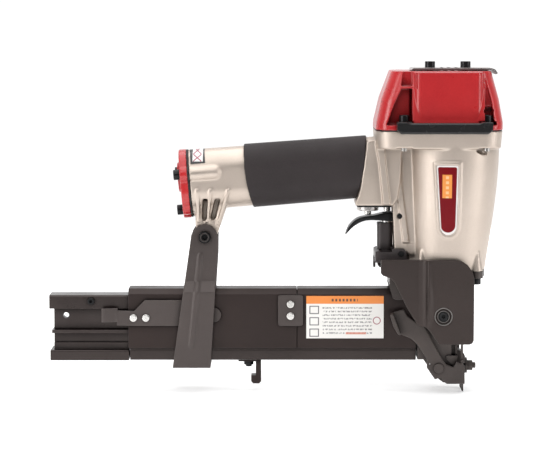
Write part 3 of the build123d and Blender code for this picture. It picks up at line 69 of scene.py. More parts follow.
class Graph:
    """A material's node tree with short calls for the nodes used here."""

    def __init__(self, name):
        self.material = bpy.data.materials.new(name)
        self.material.use_nodes = True
        self.tree = self.material.node_tree
        self.shader = self.tree.nodes["Principled BSDF"]
        self.coords = self.tree.nodes.new("ShaderNodeTexCoord").outputs["Object"]

    def link(self, source, target):
        if isinstance(source, bpy.types.NodeSocket):
            self.tree.links.new(source, target)
        else:
            target.default_value = source

    def math(self, operation, a, b=0.0, clamp=False):
        node = self.tree.nodes.new("ShaderNodeMath")
        node.operation = operation
        node.use_clamp = clamp
        self.link(a, node.inputs[0])
        self.link(b, node.inputs[1])
        return node.outputs[0]

    def noise(self, scale, detail=3.0, roughness=0.5, coords=None):
        node = self.tree.nodes.new("ShaderNodeTexNoise")
        node.inputs["Scale"].default_value = scale
        node.inputs["Detail"].default_value = detail
        node.inputs["Roughness"].default_value = roughness
        self.tree.links.new(coords or self.coords, node.inputs["Vector"])
        return node.outputs["Fac"]

    def cells(self, scale):
        node = self.tree.nodes.new("ShaderNodeTexVoronoi")
        node.inputs["Scale"].default_value = scale
        self.tree.links.new(self.coords, node.inputs["Vector"])
        return node.outputs["Distance"]

    def stretch(self, scale):
        node = self.tree.nodes.new("ShaderNodeMapping")
        node.inputs["Scale"].default_value = scale
        self.tree.links.new(self.coords, node.inputs["Vector"])
        return node.outputs[0]

    def axes(self):
        node = self.tree.nodes.new("ShaderNodeSeparateXYZ")
        self.tree.links.new(self.coords, node.inputs[0])
        return node.outputs[0], node.outputs[1], node.outputs[2]

    def span(self, value, low, high, out_low=0.0, out_high=1.0):
        node = self.tree.nodes.new("ShaderNodeMapRange")
        for index, item in enumerate((value, low, high, out_low, out_high)):
            self.link(item, node.inputs[index])
        return node.outputs[0]

    def mix(self, fac, a, b, blend="MIX"):
        node = self.tree.nodes.new("ShaderNodeMix")
        node.data_type = "RGBA"
        node.blend_type = blend
        self.link(fac, node.inputs[0])
        for index, item in ((6, a), (7, b)):
            self.link(item if isinstance(item, bpy.types.NodeSocket) else (*item, 1), node.inputs[index])
        return node.outputs[2]

    def length(self, a, b):
        squares = [self.math("MULTIPLY", side, side) for side in (a, b)]
        return self.math("SQRT", self.math("ADD", *squares))

    def bump(self, height, distance, strength=1.0, previous=None):
        node = self.tree.nodes.new("ShaderNodeBump")
        node.inputs["Strength"].default_value = strength
        node.inputs["Distance"].default_value = distance
        self.link(height, node.inputs["Height"])
        if previous is not None:
            self.tree.links.new(previous, node.inputs["Normal"])
        return node.outputs[0]

    def edge_wear(self, radius=0.6):
        """1 along edges and 0 on flats, from the angle between the rounded normal and the true one."""
        rounded = self.tree.nodes.new("ShaderNodeBevel")
        rounded.samples = 4
        rounded.inputs["Radius"].default_value = radius * MM
        flat = self.tree.nodes.new("ShaderNodeNewGeometry")
        dot = self.tree.nodes.new("ShaderNodeVectorMath")
        dot.operation = "DOT_PRODUCT"
        self.tree.links.new(rounded.outputs[0], dot.inputs[0])
        self.tree.links.new(flat.outputs["True Normal"], dot.inputs[1])
        return self.span(dot.outputs["Value"], 0.70, 0.97, 1.0, 0.0)

    def painted_crevice_shade(self, distance=7.0, low=0.35, high=0.95):
        """0 deep in corners and under neighbours, 1 on open faces; it masks the painted shade."""
        node = self.tree.nodes.new("ShaderNodeAmbientOcclusion")
        node.samples = 6
        node.inputs["Distance"].default_value = distance * MM
        return self.span(node.outputs["AO"], low, high)

    def set(self, **values):
        for key, value in values.items():
            self.link(value, self.shader.inputs[key.replace("_", " ")])
        return self.material


def painted(name, light, dark, rough, metallic=0.0, grain=0.02, grain_scale=900.0, coat=0.0, worn=None,
            shine=0.5, tint=(1.0, 1.0, 1.0), shade=0.22):
    """Painted or coated metal: soft colour drift, fine grain, slightly uneven gloss and painted shade in
    corners.
    """
    g = Graph(name)
    drift = g.noise(18.0, 4.0, 0.6)
    base = g.mix(g.span(drift, 0.35, 0.65), light, dark)
    fine = g.noise(grain_scale, 2.0, 0.5)
    base = g.mix(g.span(fine, 0.3, 0.7, 0.0, 0.10), base, tuple(min(1.0, c * 1.5 + 0.02) for c in light))
    if worn is not None:
        scratch = g.noise(140.0, 6.0, 0.7)
        base = g.mix(g.math("MULTIPLY", g.edge_wear(), g.span(scratch, 0.40, 0.66), True), base, worn)
    # Painted shade: corners, creases and faces under neighbouring parts are darkened towards the dark colour
    # times shade, and their gloss is lowered.
    unshaded_mask = g.painted_crevice_shade()
    base = g.mix(unshaded_mask, tuple(c * shade for c in dark), base)
    roughness = g.span(g.noise(40.0, 3.0, 0.6), 0.3, 0.7, rough - 0.05, rough + 0.07)
    grain_bump = g.bump(fine, grain * MM, 1.0)
    soft_bump = g.bump(g.noise(55.0, 2.0), 0.05 * MM, 0.5, grain_bump)
    return g.set(Base_Color=base, Roughness=roughness, Metallic=metallic, Normal=soft_bump, Coat_Weight=coat,
                 Coat_Roughness=0.20, Specular_IOR_Level=g.span(unshaded_mask, 0.0, 1.0, 0.15 * shine, shine),
                 Specular_Tint=(*tint, 1.0))


def bare_metal(name, light, dark, rough, direction=(1.0, 1.0, 14.0), scale=160.0):
    """Plated or turned metal with fine drawn lines."""
    g = Graph(name)
    lines = g.noise(scale, 4.0, 0.6, g.stretch(direction))
    blotch = g.noise(35.0, 3.0)
    base = g.mix(g.span(blotch, 0.35, 0.7), light, dark)
    roughness = g.span(lines, 0.3, 0.7, rough - 0.06, rough + 0.1)
    return g.set(Base_Color=base, Metallic=1.0, Roughness=roughness, Normal=g.bump(lines, 0.02 * MM, 0.6))


MATERIALS = {}
MATERIALS["cast"] = painted("cast_champagne", (0.60, 0.515, 0.45), (0.545, 0.465, 0.40), rough=0.42,
                            metallic=0.70, grain=0.03, grain_scale=1300.0, shade=0.5)
MATERIALS["red"] = painted("cap_red", (0.50, 0.022, 0.024), (0.42, 0.014, 0.018), rough=0.28, grain=0.012,
                           grain_scale=700.0, coat=0.35, shade=0.5)
MATERIALS["sheet"] = painted("coated_sheet", (0.020, 0.0130, 0.0120), (0.015, 0.0100, 0.0095), rough=0.33,
                             grain_scale=1500.0, worn=(0.12, 0.10, 0.095), shine=0.36, tint=(1.0, 0.86, 0.82),
                             shade=0.08)
MATERIALS["cover"] = painted("coated_cover", (0.034, 0.0255, 0.0235), (0.027, 0.0205, 0.0190), rough=0.40,
                             grain=0.03, grain_scale=1200.0, worn=(0.15, 0.13, 0.12), shine=0.36,
                             tint=(1.0, 0.88, 0.84), shade=0.08)
MATERIALS["gloss_sheet"] = painted("gloss_sheet", (0.018, 0.0125, 0.0115), (0.014, 0.0095, 0.0090),
                                   rough=0.20, grain=0.012, grain_scale=1500.0, worn=(0.12, 0.10, 0.095),
                                   shine=0.45, tint=(1.0, 0.88, 0.84), shade=0.08)
MATERIALS["strap"] = painted("coated_strap", (0.060, 0.049, 0.046), (0.048, 0.039, 0.037), rough=0.36,
                             grain=0.03, grain_scale=1200.0, worn=(0.18, 0.16, 0.15), tint=(1.0, 0.9, 0.87))
MATERIALS["black_steel"] = painted("blackened_steel", (0.074, 0.059, 0.053), (0.048, 0.038, 0.035),
                                   rough=0.38, metallic=0.35, grain=0.03, worn=(0.30, 0.28, 0.27))
# Lighter steel used only for the cover screw rings: a painted highlight for the dish edge and the ring round
# the head, with rubbed edges.
MATERIALS["ring_highlight_steel"] = painted("worn_steel_painted_highlight", (0.20, 0.185, 0.175), (0.13, 0.12, 0.115), rough=0.32,
                                  metallic=0.7, worn=(0.4, 0.38, 0.36))
MATERIALS["oxide"] = painted("black_oxide", (0.020, 0.020, 0.021), (0.012, 0.012, 0.013), rough=0.34,
                             metallic=0.6, grain_scale=1100.0, worn=(0.12, 0.12, 0.12))
MATERIALS["guard"] = painted("guard_black", (0.016, 0.016, 0.0165), (0.011, 0.011, 0.0115), rough=0.24,
                             grain=0.012, shine=0.42)
MATERIALS["housing"] = painted("moulded_housing", (0.040, 0.033, 0.033), (0.030, 0.025, 0.025), rough=0.40,
                               grain=0.04, grain_scale=1200.0, tint=(1.0, 0.93, 0.93))
MATERIALS["plate"] = painted("bright_plate", (0.62, 0.575, 0.56), (0.52, 0.48, 0.47), rough=0.30,
                             metallic=0.85, grain=0.008, grain_scale=1400.0)
MATERIALS["bright"] = bare_metal("bright_steel", (0.82, 0.80, 0.77), (0.66, 0.645, 0.62), rough=0.24)
MATERIALS["dull_steel"] = bare_metal("dull_steel", (0.62, 0.59, 0.57), (0.48, 0.46, 0.45), rough=0.34)
MATERIALS["spring"] = bare_metal("spring_wire", (0.60, 0.59, 0.57), (0.45, 0.44, 0.43), rough=0.3)
MATERIALS["turned"] = bare_metal("turned_aluminium", (0.80, 0.80, 0.80), (0.7, 0.7, 0.7), rough=0.28,
                                 direction=(1.0, 1.0, 30.0))
MATERIALS["gasket"] = painted("gasket_sheet", (0.018, 0.018, 0.018), (0.010, 0.010, 0.010), rough=0.6,
                              grain=0.05, grain_scale=1200.0)
MATERIALS["seal"] = painted("seal_rubber", (0.022, 0.021, 0.021), (0.014, 0.013, 0.013), rough=0.55,
                            grain=0.03)
MATERIALS["acetal"] = painted("natural_acetal", (0.80, 0.78, 0.72), (0.74, 0.72, 0.66), rough=0.38,
                              grain=0.01, grain_scale=500.0)


def grip_material():
    g = Graph("grip_rubber")
    drift = g.noise(14.0, 4.0, 0.6)
    base = g.mix(g.span(drift, 0.3, 0.7), (0.025, 0.0185, 0.0190), (0.018, 0.0135, 0.0140))
    grain = g.cells(1500.0)
    fine = g.noise(2600.0, 3.0, 0.6)
    height = g.math("ADD", g.math("MULTIPLY", grain, 0.8), fine)
    normal = g.bump(height, 0.07 * MM, 0.7)
    base = g.mix(g.span(grain, 0.1, 0.6, 0.0, 0.25), base, (0.052, 0.043, 0.044))
    return g.set(Base_Color=base, Roughness=g.span(drift, 0.3, 0.7, 0.62, 0.74), Normal=normal,
                 Specular_IOR_Level=0.35)


MATERIALS["grip"] = grip_material()


def inside(g, value, low, high, soft=0.00012):
    """1 between two heights of value, 0 outside, with a thin soft edge."""
    rise = g.span(value, low - soft, low + soft)
    fall = g.span(value, high - soft, high + soft, 1.0, 0.0)
    return g.math("MULTIPLY", rise, fall)


def panel(g, x, z, left, right, bottom, top):
    """1 inside an X-Z rectangle."""
    return g.math("MULTIPLY", inside(g, x, left, right), inside(g, z, bottom, top))


def stripes(g, value, per_metre):
    """Saw teeth from 0 to 1 along value."""
    return g.math("FRACT", g.math("MULTIPLY", value, per_metre))


BADGE_LEAN_LEFT, BADGE_LEAN_RIGHT = 0.064, 0.018
BADGE_CORNER_R = 3.0 * MM
BADGE_END_R, BADGE_END_RISE, BADGE_END_SHIFT = 7.3 * MM, 8.3 * MM, 1.0 * MM
BADGE_BARS = 240.0


def badge_material():
    """Maroon print with a white border and one plain orange rectangle."""
    g = Graph("badge_print")
    x, _, z = g.axes()
    low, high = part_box("name_badge")
    from_top = g.math("SUBTRACT", high.z, z)
    left_edge = g.math("ADD", low.x, g.math("MULTIPLY", from_top, BADGE_LEAN_LEFT))
    right_edge = g.math("SUBTRACT", high.x, g.math("MULTIPLY", from_top, BADGE_LEAN_RIGHT))
    from_side = g.math("MINIMUM", g.math("SUBTRACT", x, left_edge), g.math("SUBTRACT", right_edge, x))
    across = g.math("SUBTRACT", x, (low.x + high.x) / 2 + BADGE_END_SHIFT)
    drop = g.math("SUBTRACT", low.z + BADGE_END_RISE, z)
    from_round = g.math("SUBTRACT", BADGE_END_R, g.length(across, g.math("MAXIMUM", drop, 0.0)))
    below = g.span(drop, -0.0001, 0.0001)
    from_end = g.math("ADD", g.math("MULTIPLY", below, from_round), g.math("SUBTRACT", 1.0, below))
    short = [g.math("MAXIMUM", g.math("SUBTRACT", BADGE_CORNER_R, gap), 0.0) for gap in (from_side, from_top)]
    from_corner = g.math("SUBTRACT", BADGE_CORNER_R, g.length(*short))
    fill = g.span(g.math("MINIMUM", from_corner, from_end), 1.15 * MM, 1.45 * MM)
    maroon = g.mix(g.span(g.noise(60.0), 0.3, 0.7), (0.185, 0.003, 0.007), (0.15, 0.002, 0.006))
    window = panel(g, x, z, low.x + 5.2 * MM, low.x + 13.0 * MM, high.z - 27.0 * MM, high.z - 7.6 * MM)
    bars = g.math("MULTIPLY", inside(g, x, low.x + 8.0 * MM, low.x + 10.4 * MM),
                  inside(g, stripes(g, z, BADGE_BARS), 0.2, 0.75, 0.05))
    orange = g.mix(bars, (0.80, 0.30, 0.075), (0.86, 0.52, 0.28))
    colour = g.mix(window, maroon, orange)
    colour = g.mix(fill, (0.84, 0.80, 0.78), colour)
    return g.set(Base_Color=colour, Roughness=g.span(g.noise(30.0), 0.3, 0.7, 0.28, 0.36),
                 Specular_IOR_Level=0.18, Normal=g.bump(g.noise(220.0), 0.02 * MM, 0.4))


LABEL_LINES = 330.0
LABEL_SQUARES = 104.0


def label_material():
    """Generic label: orange header, white field, grey line pattern, no lettering."""
    g = Graph("label_print")
    x, _, z = g.axes()
    low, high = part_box("label_plate")
    height = g.math("SUBTRACT", z, low.z)
    header = g.span(z, high.z - 6.7 * MM, high.z - 6.5 * MM)
    rows = inside(g, stripes(g, height, LABEL_LINES), 0.28, 0.70, 0.08)
    words = g.noise(700.0, 2.0, 0.6, g.stretch((1.0, 1.0, 0.45)))
    text = g.math("MULTIPLY", rows, g.span(words, 0.46, 0.52))
    column = panel(g, x, z, low.x + 13.5 * MM, low.x + 55.0 * MM, low.z + 3.2 * MM, high.z - 8.4 * MM)
    text = g.math("MULTIPLY", text, column)
    squares = stripes(g, height, LABEL_SQUARES)
    outer = g.math("MULTIPLY", inside(g, x, low.x + 2.6 * MM, low.x + 10.6 * MM),
                   inside(g, squares, 0.14, 0.86, 0.03))
    inner = g.math("MULTIPLY", inside(g, x, low.x + 3.4 * MM, low.x + 9.8 * MM),
                   inside(g, squares, 0.22, 0.78, 0.03))
    boxes = g.math("SUBTRACT", outer, inner, True)
    reach = g.length(g.math("SUBTRACT", x, low.x + 59.0 * MM), g.math("SUBTRACT", z, low.z + 15.0 * MM))
    circle = inside(g, reach, 2.6 * MM, 3.3 * MM)
    white = g.mix(g.span(g.noise(25.0), 0.3, 0.7), (0.86, 0.84, 0.81), (0.80, 0.78, 0.75))
    colour = g.mix(g.math("MULTIPLY", text, 0.8), white, (0.10, 0.09, 0.10))
    colour = g.mix(boxes, colour, (0.08, 0.07, 0.08))
    colour = g.mix(circle, colour, (0.32, 0.06, 0.09))
    note = panel(g, x, z, low.x + 33.0 * MM, low.x + 50.0 * MM, low.z + 3.4 * MM, low.z + 5.2 * MM)
    colour = g.mix(g.math("MULTIPLY", note, 0.75), colour, (0.62, 0.16, 0.08))
    band = panel(g, x, z, low.x + 21.0 * MM, low.x + 43.0 * MM, high.z - 4.6 * MM, high.z - 2.4 * MM)
    dashes = inside(g, stripes(g, x, LABEL_LINES), 0.2, 0.75, 0.05)
    orange = g.mix(g.math("MULTIPLY", band, dashes), (0.80, 0.25, 0.045), (0.10, 0.04, 0.02))
    colour = g.mix(header, colour, orange)
    return g.set(Base_Color=colour, Roughness=0.32, Coat_Weight=0.2,
                 Normal=g.bump(g.noise(180.0), 0.02 * MM, 0.4))


STROKE_WIDTH, STROKE_HEIGHT = 7.0 * MM, 5.6 * MM


def sticker_material():
    """White sticker with a black border and plain crossing strokes."""
    g = Graph("sticker_print")
    x, _, z = g.axes()
    low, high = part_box("handle_sticker")
    along = g.math("SUBTRACT", x, low.x)
    left = g.span(along, 2.4 * MM, 2.7 * MM)
    right = g.span(along, 10.9 * MM, 11.3 * MM, 1.0, 0.0)
    bottom = g.span(g.math("SUBTRACT", z, low.z), 1.9 * MM, 2.2 * MM)
    field = g.math("MULTIPLY", g.math("MULTIPLY", left, right), bottom)
    tile = g.math("FRACT", g.math("DIVIDE", g.math("SUBTRACT", z, low.z + 2.2 * MM), STROKE_HEIGHT))
    across = g.math("DIVIDE", g.math("SUBTRACT", along, 3.0 * MM), STROKE_WIDTH)
    first = g.math("ABSOLUTE", g.math("SUBTRACT", tile, across))
    second = g.math("ABSOLUTE", g.math("SUBTRACT", g.math("SUBTRACT", 1.0, tile), across))
    strokes = g.math("MAXIMUM", *(g.span(gap, 0.07, 0.13, 1.0, 0.0) for gap in (first, second)))
    strokes = g.math("MULTIPLY", strokes, inside(g, across, 0.0, 1.0, 0.02))
    white = g.mix(g.span(g.noise(40.0), 0.3, 0.7), (0.84, 0.82, 0.80), (0.78, 0.76, 0.74))
    colour = g.mix(strokes, white, (0.36, 0.10, 0.14))
    colour = g.mix(field, (0.012, 0.012, 0.013), colour)
    return g.set(Base_Color=colour, Roughness=0.3, Coat_Weight=0.2,
                 Normal=g.bump(g.noise(200.0), 0.02 * MM, 0.4))


SHANK_TOP_Z = (0.2085, 0.2095)


def tipped_material():
    """Blackened cap screws whose shanks, below the cap joint, are left bright."""
    g = Graph("tipped_screws")
    _, _, z = g.axes()
    head = g.span(z, *SHANK_TOP_Z)
    drift = g.noise(60.0, 4.0, 0.6)
    black = g.mix(g.span(drift, 0.35, 0.65), (0.022, 0.021, 0.022), (0.013, 0.013, 0.014))
    black = g.mix(g.edge_wear(0.4), black, (0.10, 0.10, 0.105))
    colour = g.mix(head, (0.52, 0.50, 0.48), black)
    return g.set(Base_Color=colour, Metallic=g.span(head, 0.0, 1.0, 1.0, 0.5),
                 Roughness=g.span(drift, 0.3, 0.7, 0.26, 0.38), Normal=g.bump(g.noise(900.0), 0.02 * MM, 0.6))


MATERIALS["tipped"] = tipped_material()
MATERIALS["badge"] = badge_material()
MATERIALS["label"] = label_material()
MATERIALS["sticker"] = sticker_material()

NODES_BY_LOOK = {
    "cast": ("main_body",),
    "red": ("cylinder_cap", "end_cap"),
    "badge": ("name_badge",),
    "label": ("label_plate",),
    "sticker": ("handle_sticker",),
    "grip": ("grip_sleeve",),
    "gasket": ("cap_gasket", "end_cap_gasket", "valve_plate"),
    "plate": ("exhaust_deflector",),
    "bright": ("magazine_rivets", "safety_bushings", "trip_rod", "trigger_valve_stem"),
    "dull_steel": ("trigger_valve_body",),
    "tipped": ("head_screws",),
    "oxide": ("end_cap_screws", "nose_screws", "nose_cover_screws", "drawer_stop_screw", "strap_screws",
              "base_screws", "leg_pins", "trigger_lever"),
    "black_steel": ("clamp_stud", "clamp_nut", "yoke_pin", "safety_arm", "contact_yoke", "nose_body",
                    "front_plate", "clamp_yoke", "pusher"),
    "guard": ("side_guard_left", "side_guard_right"),
    "housing": ("safety_housing",),
    "acetal": ("head_valve_piston",),
    "seal": ("head_valve_oring", "cylinder_orings", "piston_oring", "bumper"),
    "spring": ("head_valve_spring", "trigger_valve_spring", "safety_spring", "driver_blade"),
    "turned": ("cylinder_sleeve", "drive_piston"),
    "cover": ("nose_cover_left", "nose_cover_right"),
    "sheet": ("magazine_front_housing", "magazine_rear_housing", "rest_hook"),
    "gloss_sheet": ("lower_rail", "drawer_core", "drawer_foot"),
    "strap": ("splice_plates", "latch_leaf", "support_strap"),
}
LOOK = {node: look for look, nodes in NODES_BY_LOOK.items() for node in nodes}
for node_name, look in LOOK.items():
    mesh = NODES[node_name].data
    mesh.materials.clear()
    mesh.materials.append(MATERIALS[look])

# ---------------------------------------------------------------- softened edges on machined and sheet pieces

BEVELS = {
    "exhaust_deflector": 0.4, "end_cap_gasket": 0.2, "cap_gasket": 0.2, "front_plate": 0.4, "clamp_yoke": 0.9,
    "clamp_nut": 0.35, "nose_body": 0.5, "magazine_front_housing": 0.6, "magazine_rear_housing": 0.6,
    "lower_rail": 0.5, "splice_plates": 0.35, "rest_hook": 0.5, "drawer_core": 0.5, "drawer_foot": 0.5,
    "latch_leaf": 0.3, "valve_plate": 0.3, "safety_arm": 0.3, "head_screws": 0.3, "end_cap_screws": 0.3,
    "nose_screws": 0.3, "strap_screws": 0.3, "yoke_pin": 0.5, "trigger_valve_body": 0.3,
    "nose_cover_screws": 0.2, "base_screws": 0.3, "clamp_stud": 0.3, "drawer_stop_screw": 0.2,
}


def soften(obj, width):
    """Rounds the hard edges of a piece and evens its shading."""
    for polygon in obj.data.polygons:
        polygon.use_smooth = True
    weld = obj.modifiers.new("weld", "WELD")
    weld.merge_threshold = 0.00001
    flat = obj.modifiers.new("flat", "DECIMATE")
    flat.decimate_type = "DISSOLVE"
    flat.angle_limit = math.radians(1.0)
    bevel = obj.modifiers.new("bevel", "BEVEL")
    bevel.width = width * MM
    bevel.segments = 3
    bevel.limit_method = "ANGLE"
    bevel.angle_limit = math.radians(35)
    bevel.miter_outer = "MITER_ARC"
    weighted = obj.modifiers.new("weighted", "WEIGHTED_NORMAL")
    weighted.keep_sharp = False
    weighted.weight = 60


for node_name, width in BEVELS.items():
    soften(NODES[node_name], width)

# ---------------------------------------------------------------- mesh helpers

BODY_OF = {node: body for body, nodes in frame["record"]["behaviour"]["bodies"].items() for node in nodes}


def link_mesh(name, verts, faces, material=None):
    """A new smooth object from plain vertices and faces in metres."""
    mesh = bpy.data.meshes.new(name)
    mesh.from_pydata([tuple(v) for v in verts], [], faces)
    mesh.validate()
    obj = bpy.data.objects.new(name, mesh)
    bpy.context.scene.collection.objects.link(obj)
    if material is not None:
        mesh.materials.append(MATERIALS[material])
    for polygon in mesh.polygons:
        polygon.use_smooth = True
    return obj


def fix_normals(obj):
    work = bmesh.new()
    work.from_mesh(obj.data)
    bmesh.ops.recalc_face_normals(work, faces=work.faces)
    work.to_mesh(obj.data)
    work.free()
    return obj


def slab(outline, y_near, y_far):
    """Vertices and faces of a plate with this X-Z outline in millimetres."""
    count = len(outline)
    verts = [(x * MM, y * MM, z * MM) for y in (y_near, y_far) for x, z in outline]
    faces = [tuple(range(count)), tuple(reversed(range(count, 2 * count)))]
    faces += [(i, (i + 1) % count, count + (i + 1) % count, count + i) for i in range(count)]
    return verts, faces


def baked(obj):
    """Applies an object's modifiers to its own mesh."""
    depsgraph = bpy.context.evaluated_depsgraph_get()
    result = bpy.data.meshes.new_from_object(obj.evaluated_get(depsgraph))
    obj.modifiers.clear()
    obj.data = result
    return obj


def moulded(name, node, voxel, rounds, extras=(), shape=None):
    """A piece's skin: its solid and any fills, remeshed finely and relaxed until every edge is a fillet."""
    work = bmesh.new()
    work.from_mesh(NODES[node].data)
    bmesh.ops.remove_doubles(work, verts=work.verts, dist=0.000005)
    for verts, faces in extras:
        made = [work.verts.new(v) for v in verts]
        new_faces = [work.faces.new([made[i] for i in face]) for face in faces]
        bmesh.ops.recalc_face_normals(work, faces=new_faces)
    mesh = bpy.data.meshes.new(name)
    work.to_mesh(mesh)
    work.free()
    piece = bpy.data.objects.new(name, mesh)
    bpy.context.scene.collection.objects.link(piece)
    remesh = piece.modifiers.new("remesh", "REMESH")
    remesh.mode = "VOXEL"
    remesh.voxel_size = voxel * MM * 1.0
    if rounds:
        relax = piece.modifiers.new("relax", "SMOOTH")
        relax.factor = 0.5
        relax.iterations = rounds
    baked(piece)
    if shape is not None:
        for vertex in piece.data.vertices:
            vertex.co = shape(vertex.co)
    piece.data.materials.clear()
    piece.data.materials.append(MATERIALS[LOOK[node]])
    for polygon in piece.data.polygons:
        polygon.use_smooth = True
    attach(piece, BODY_OF[node])
    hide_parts(node)
    return piece


# ---------------------------------------------------------------- castings and mouldings

LEG_WEB = ((-37.8, 113.6), (-34.6, 110.8), (-30.5, 112.0), (-29.0, 123.0), (-37.2, 123.0))
UNDERCUT_FLOOR = ((19.0, 193.0), (31.0, 193.0), (31.0, 201.6), (19.0, 201.6))
UNDERCUT_STEP = ((19.0, 193.0), (24.6, 193.0), (24.6, 201.6), (19.0, 201.6))
CAP_FLOOR_RIGHT = ((24.6, 219.0), (34.6, 219.0), (32.0, 238.0), (27.2, 257.5), (24.6, 257.5))
CAP_FLOOR_UPPER = ((24.6, 235.0), (32.6, 235.0), (27.2, 257.5), (24.6, 257.5))
CAP_FLOOR_LEFT = ((-57.0, 219.0), (-36.0, 219.0), (-36.0, 251.5), (-43.0, 251.5), (-50.5, 237.0))
GUARD_ENDS_X = (-47.4, 30.4)


def both_sides(outline, inner, outer):
    """The same slab on the near and on the far side of the middle plane."""
    return [slab(outline, *sorted((side * inner, side * outer))) for side in (-1, 1)]


def trimmed(point):
    """Keeps the guard's ears inside the ends of its bar."""
    return Vector((min(max(point.x, GUARD_ENDS_X[0] * MM), GUARD_ENDS_X[1] * MM), point.y, point.z))


body_fills = (both_sides(LEG_WEB, 10.6, 15.8) + both_sides(UNDERCUT_FLOOR, 16.0, 25.0)
              + both_sides(UNDERCUT_STEP, 16.0, 28.4))
cap_fills = (both_sides(CAP_FLOOR_RIGHT, 18.5, 25.2) + both_sides(CAP_FLOOR_UPPER, 18.5, 30.4)
             + both_sides(CAP_FLOOR_LEFT, 18.5, 24.6))
moulded("body_casting", "main_body", voxel=0.7, rounds=6, extras=body_fills)
moulded("cap_casting", "cylinder_cap", voxel=0.5, rounds=6, extras=cap_fills)
moulded("end_cap_casting", "end_cap", voxel=0.5, rounds=7)
moulded("guard_moulding_left", "side_guard_left", voxel=0.5, rounds=14, shape=trimmed)
moulded("guard_moulding_right", "side_guard_right", voxel=0.5, rounds=14, shape=trimmed)
moulded("housing_moulding", "safety_housing", voxel=0.45, rounds=5)
moulded("trigger_moulding", "trigger_lever", voxel=0.45, rounds=6)
moulded("grip_moulding", "grip_sleeve", voxel=0.6, rounds=6)
moulded("yoke_plate", "contact_yoke", voxel=0.5, rounds=3)

# ---------------------------------------------------------------- pressed nose covers

CREASE_X = -19.6
CREASE_LEFT = 0.9
CREASE_RIGHT = 1.6
CREASE_MID_Z = 74.0
CREASE_Z = (52.0, 112.0)
CREASE_FADE = 6.0
CREASE_SWELL_Z = 17.0
FACE_Y = 29.0


def creased(point):
    """Presses the cover's vertical crease in: a sharp left side and a long right side."""
    x, y, z = point.x / MM, point.y / MM, point.z / MM
    if abs(y) < FACE_Y:
        return point
    end = 1.0
    for from_end in (z - CREASE_Z[0], CREASE_Z[1] - z):
        end *= min(1.0, max(0.0, from_end / CREASE_FADE))
    swell = math.exp(-((z - CREASE_MID_Z) / CREASE_SWELL_Z) ** 2)
    width = CREASE_LEFT if x < CREASE_X else CREASE_RIGHT + 1.6 * swell
    depth = (0.7 + 1.5 * swell) * end * math.exp(-((x - CREASE_X) / width) ** 2)
    ridge = 0.7 * math.exp(-((x - CREASE_X + 2.9) / 1.3) ** 2) * end
    return Vector((point.x, point.y + math.copysign((ridge - depth) * MM, point.y), point.z))


moulded("cover_plate_left", "nose_cover_left", voxel=0.5, rounds=5, shape=creased)
moulded("cover_plate_right", "nose_cover_right", voxel=0.5, rounds=5, shape=creased)

# ---------------------------------------------------------------- brace strap with its pressed bead

BEAD_TOP = (-208.9, 113.3)
BEAD_FOOT = (-216.9, 32.5)
STRAP_UPPER_Y, STRAP_LOWER_Y = 15.9, 21.6
BEND_TOP_Z, BEND_FOOT_Z = 89.2, 80.2
BEAD_HALF = 2.7
BEAD_RISE = 1.2


def strap_face(z):
    """Distance of the strap's outer face from the middle plane at a height."""
    share = min(1.0, max(0.0, (BEND_TOP_Z - z) / (BEND_TOP_Z - BEND_FOOT_Z)))
    return STRAP_UPPER_Y + share * (STRAP_LOWER_Y - STRAP_UPPER_Y)


def bead(side, steps=90, points=9):
    """A half-round bead that follows the strap's bend, closed at its back."""
    verts, faces = [], []
    for step in range(steps + 1):
        t = step / steps
        x = BEAD_TOP[0] + t * (BEAD_FOOT[0] - BEAD_TOP[0])
        z = BEAD_TOP[1] + t * (BEAD_FOOT[1] - BEAD_TOP[1])
        taper = math.sqrt(max(0.0, 1 - abs(2 * t - 1) ** 24)) * 0.98 + 0.02
        for point in range(points):
            turn = math.pi * point / (points - 1)
            y = strap_face(z) - 0.4 + (BEAD_RISE + 0.4) * math.sin(turn) * taper
            verts.append(((x + BEAD_HALF * math.cos(turn) * taper) * MM, side * y * MM, z * MM))
    for step in range(steps):
        for point in range(points):
            a, b = step * points + point, step * points + (point + 1) % points
            faces.append((a, b, b + points, a + points))
    faces.append(tuple(range(points)))
    faces.append(tuple(reversed(range(steps * points, (steps + 1) * points))))
    return verts, faces


moulded("strap_pressing", "support_strap", voxel=0.55, rounds=3, extras=[bead(-1), bead(1)])

# ---------------------------------------------------------------- small turned and formed details

def turned(name, profile, centre, axis, material, body, segments=64):
    """A piece turned from a radius and height profile in millimetres, standing on a centre along an axis."""
    turn = Vector(axis).to_track_quat("Z", "Y")
    verts, faces = [], []
    for radius, rise in profile:
        for step in range(segments):
            angle = 2 * math.pi * step / segments
            point = turn @ Vector((radius * math.cos(angle), radius * math.sin(angle), rise))
            verts.append((Vector(centre) + point) * MM)
    rows = len(profile)
    for row in range(rows - 1):
        for step in range(segments):
            a, b = row * segments + step, row * segments + (step + 1) % segments
            faces.append((a, b, b + segments, a + segments))
    if profile[0] == profile[-1]:
        count = (rows - 1) * segments
        faces = [tuple(v % count if v >= count else v for v in face) for face in faces]
        verts = verts[:count]
    else:
        faces.append(tuple(reversed(range(segments))))
        faces.append(tuple(range((rows - 1) * segments, rows * segments)))
    piece = fix_normals(link_mesh(name, verts, faces, material))
    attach(piece, body)
    return piece


def ring_profile(radius, wire, steps=14):
    """Closed round-wire section for a ring."""
    points = [(radius + wire * math.cos(2 * math.pi * i / steps), wire * math.sin(2 * math.pi * i / steps))
              for i in range(steps)]
    return points + points[:1]


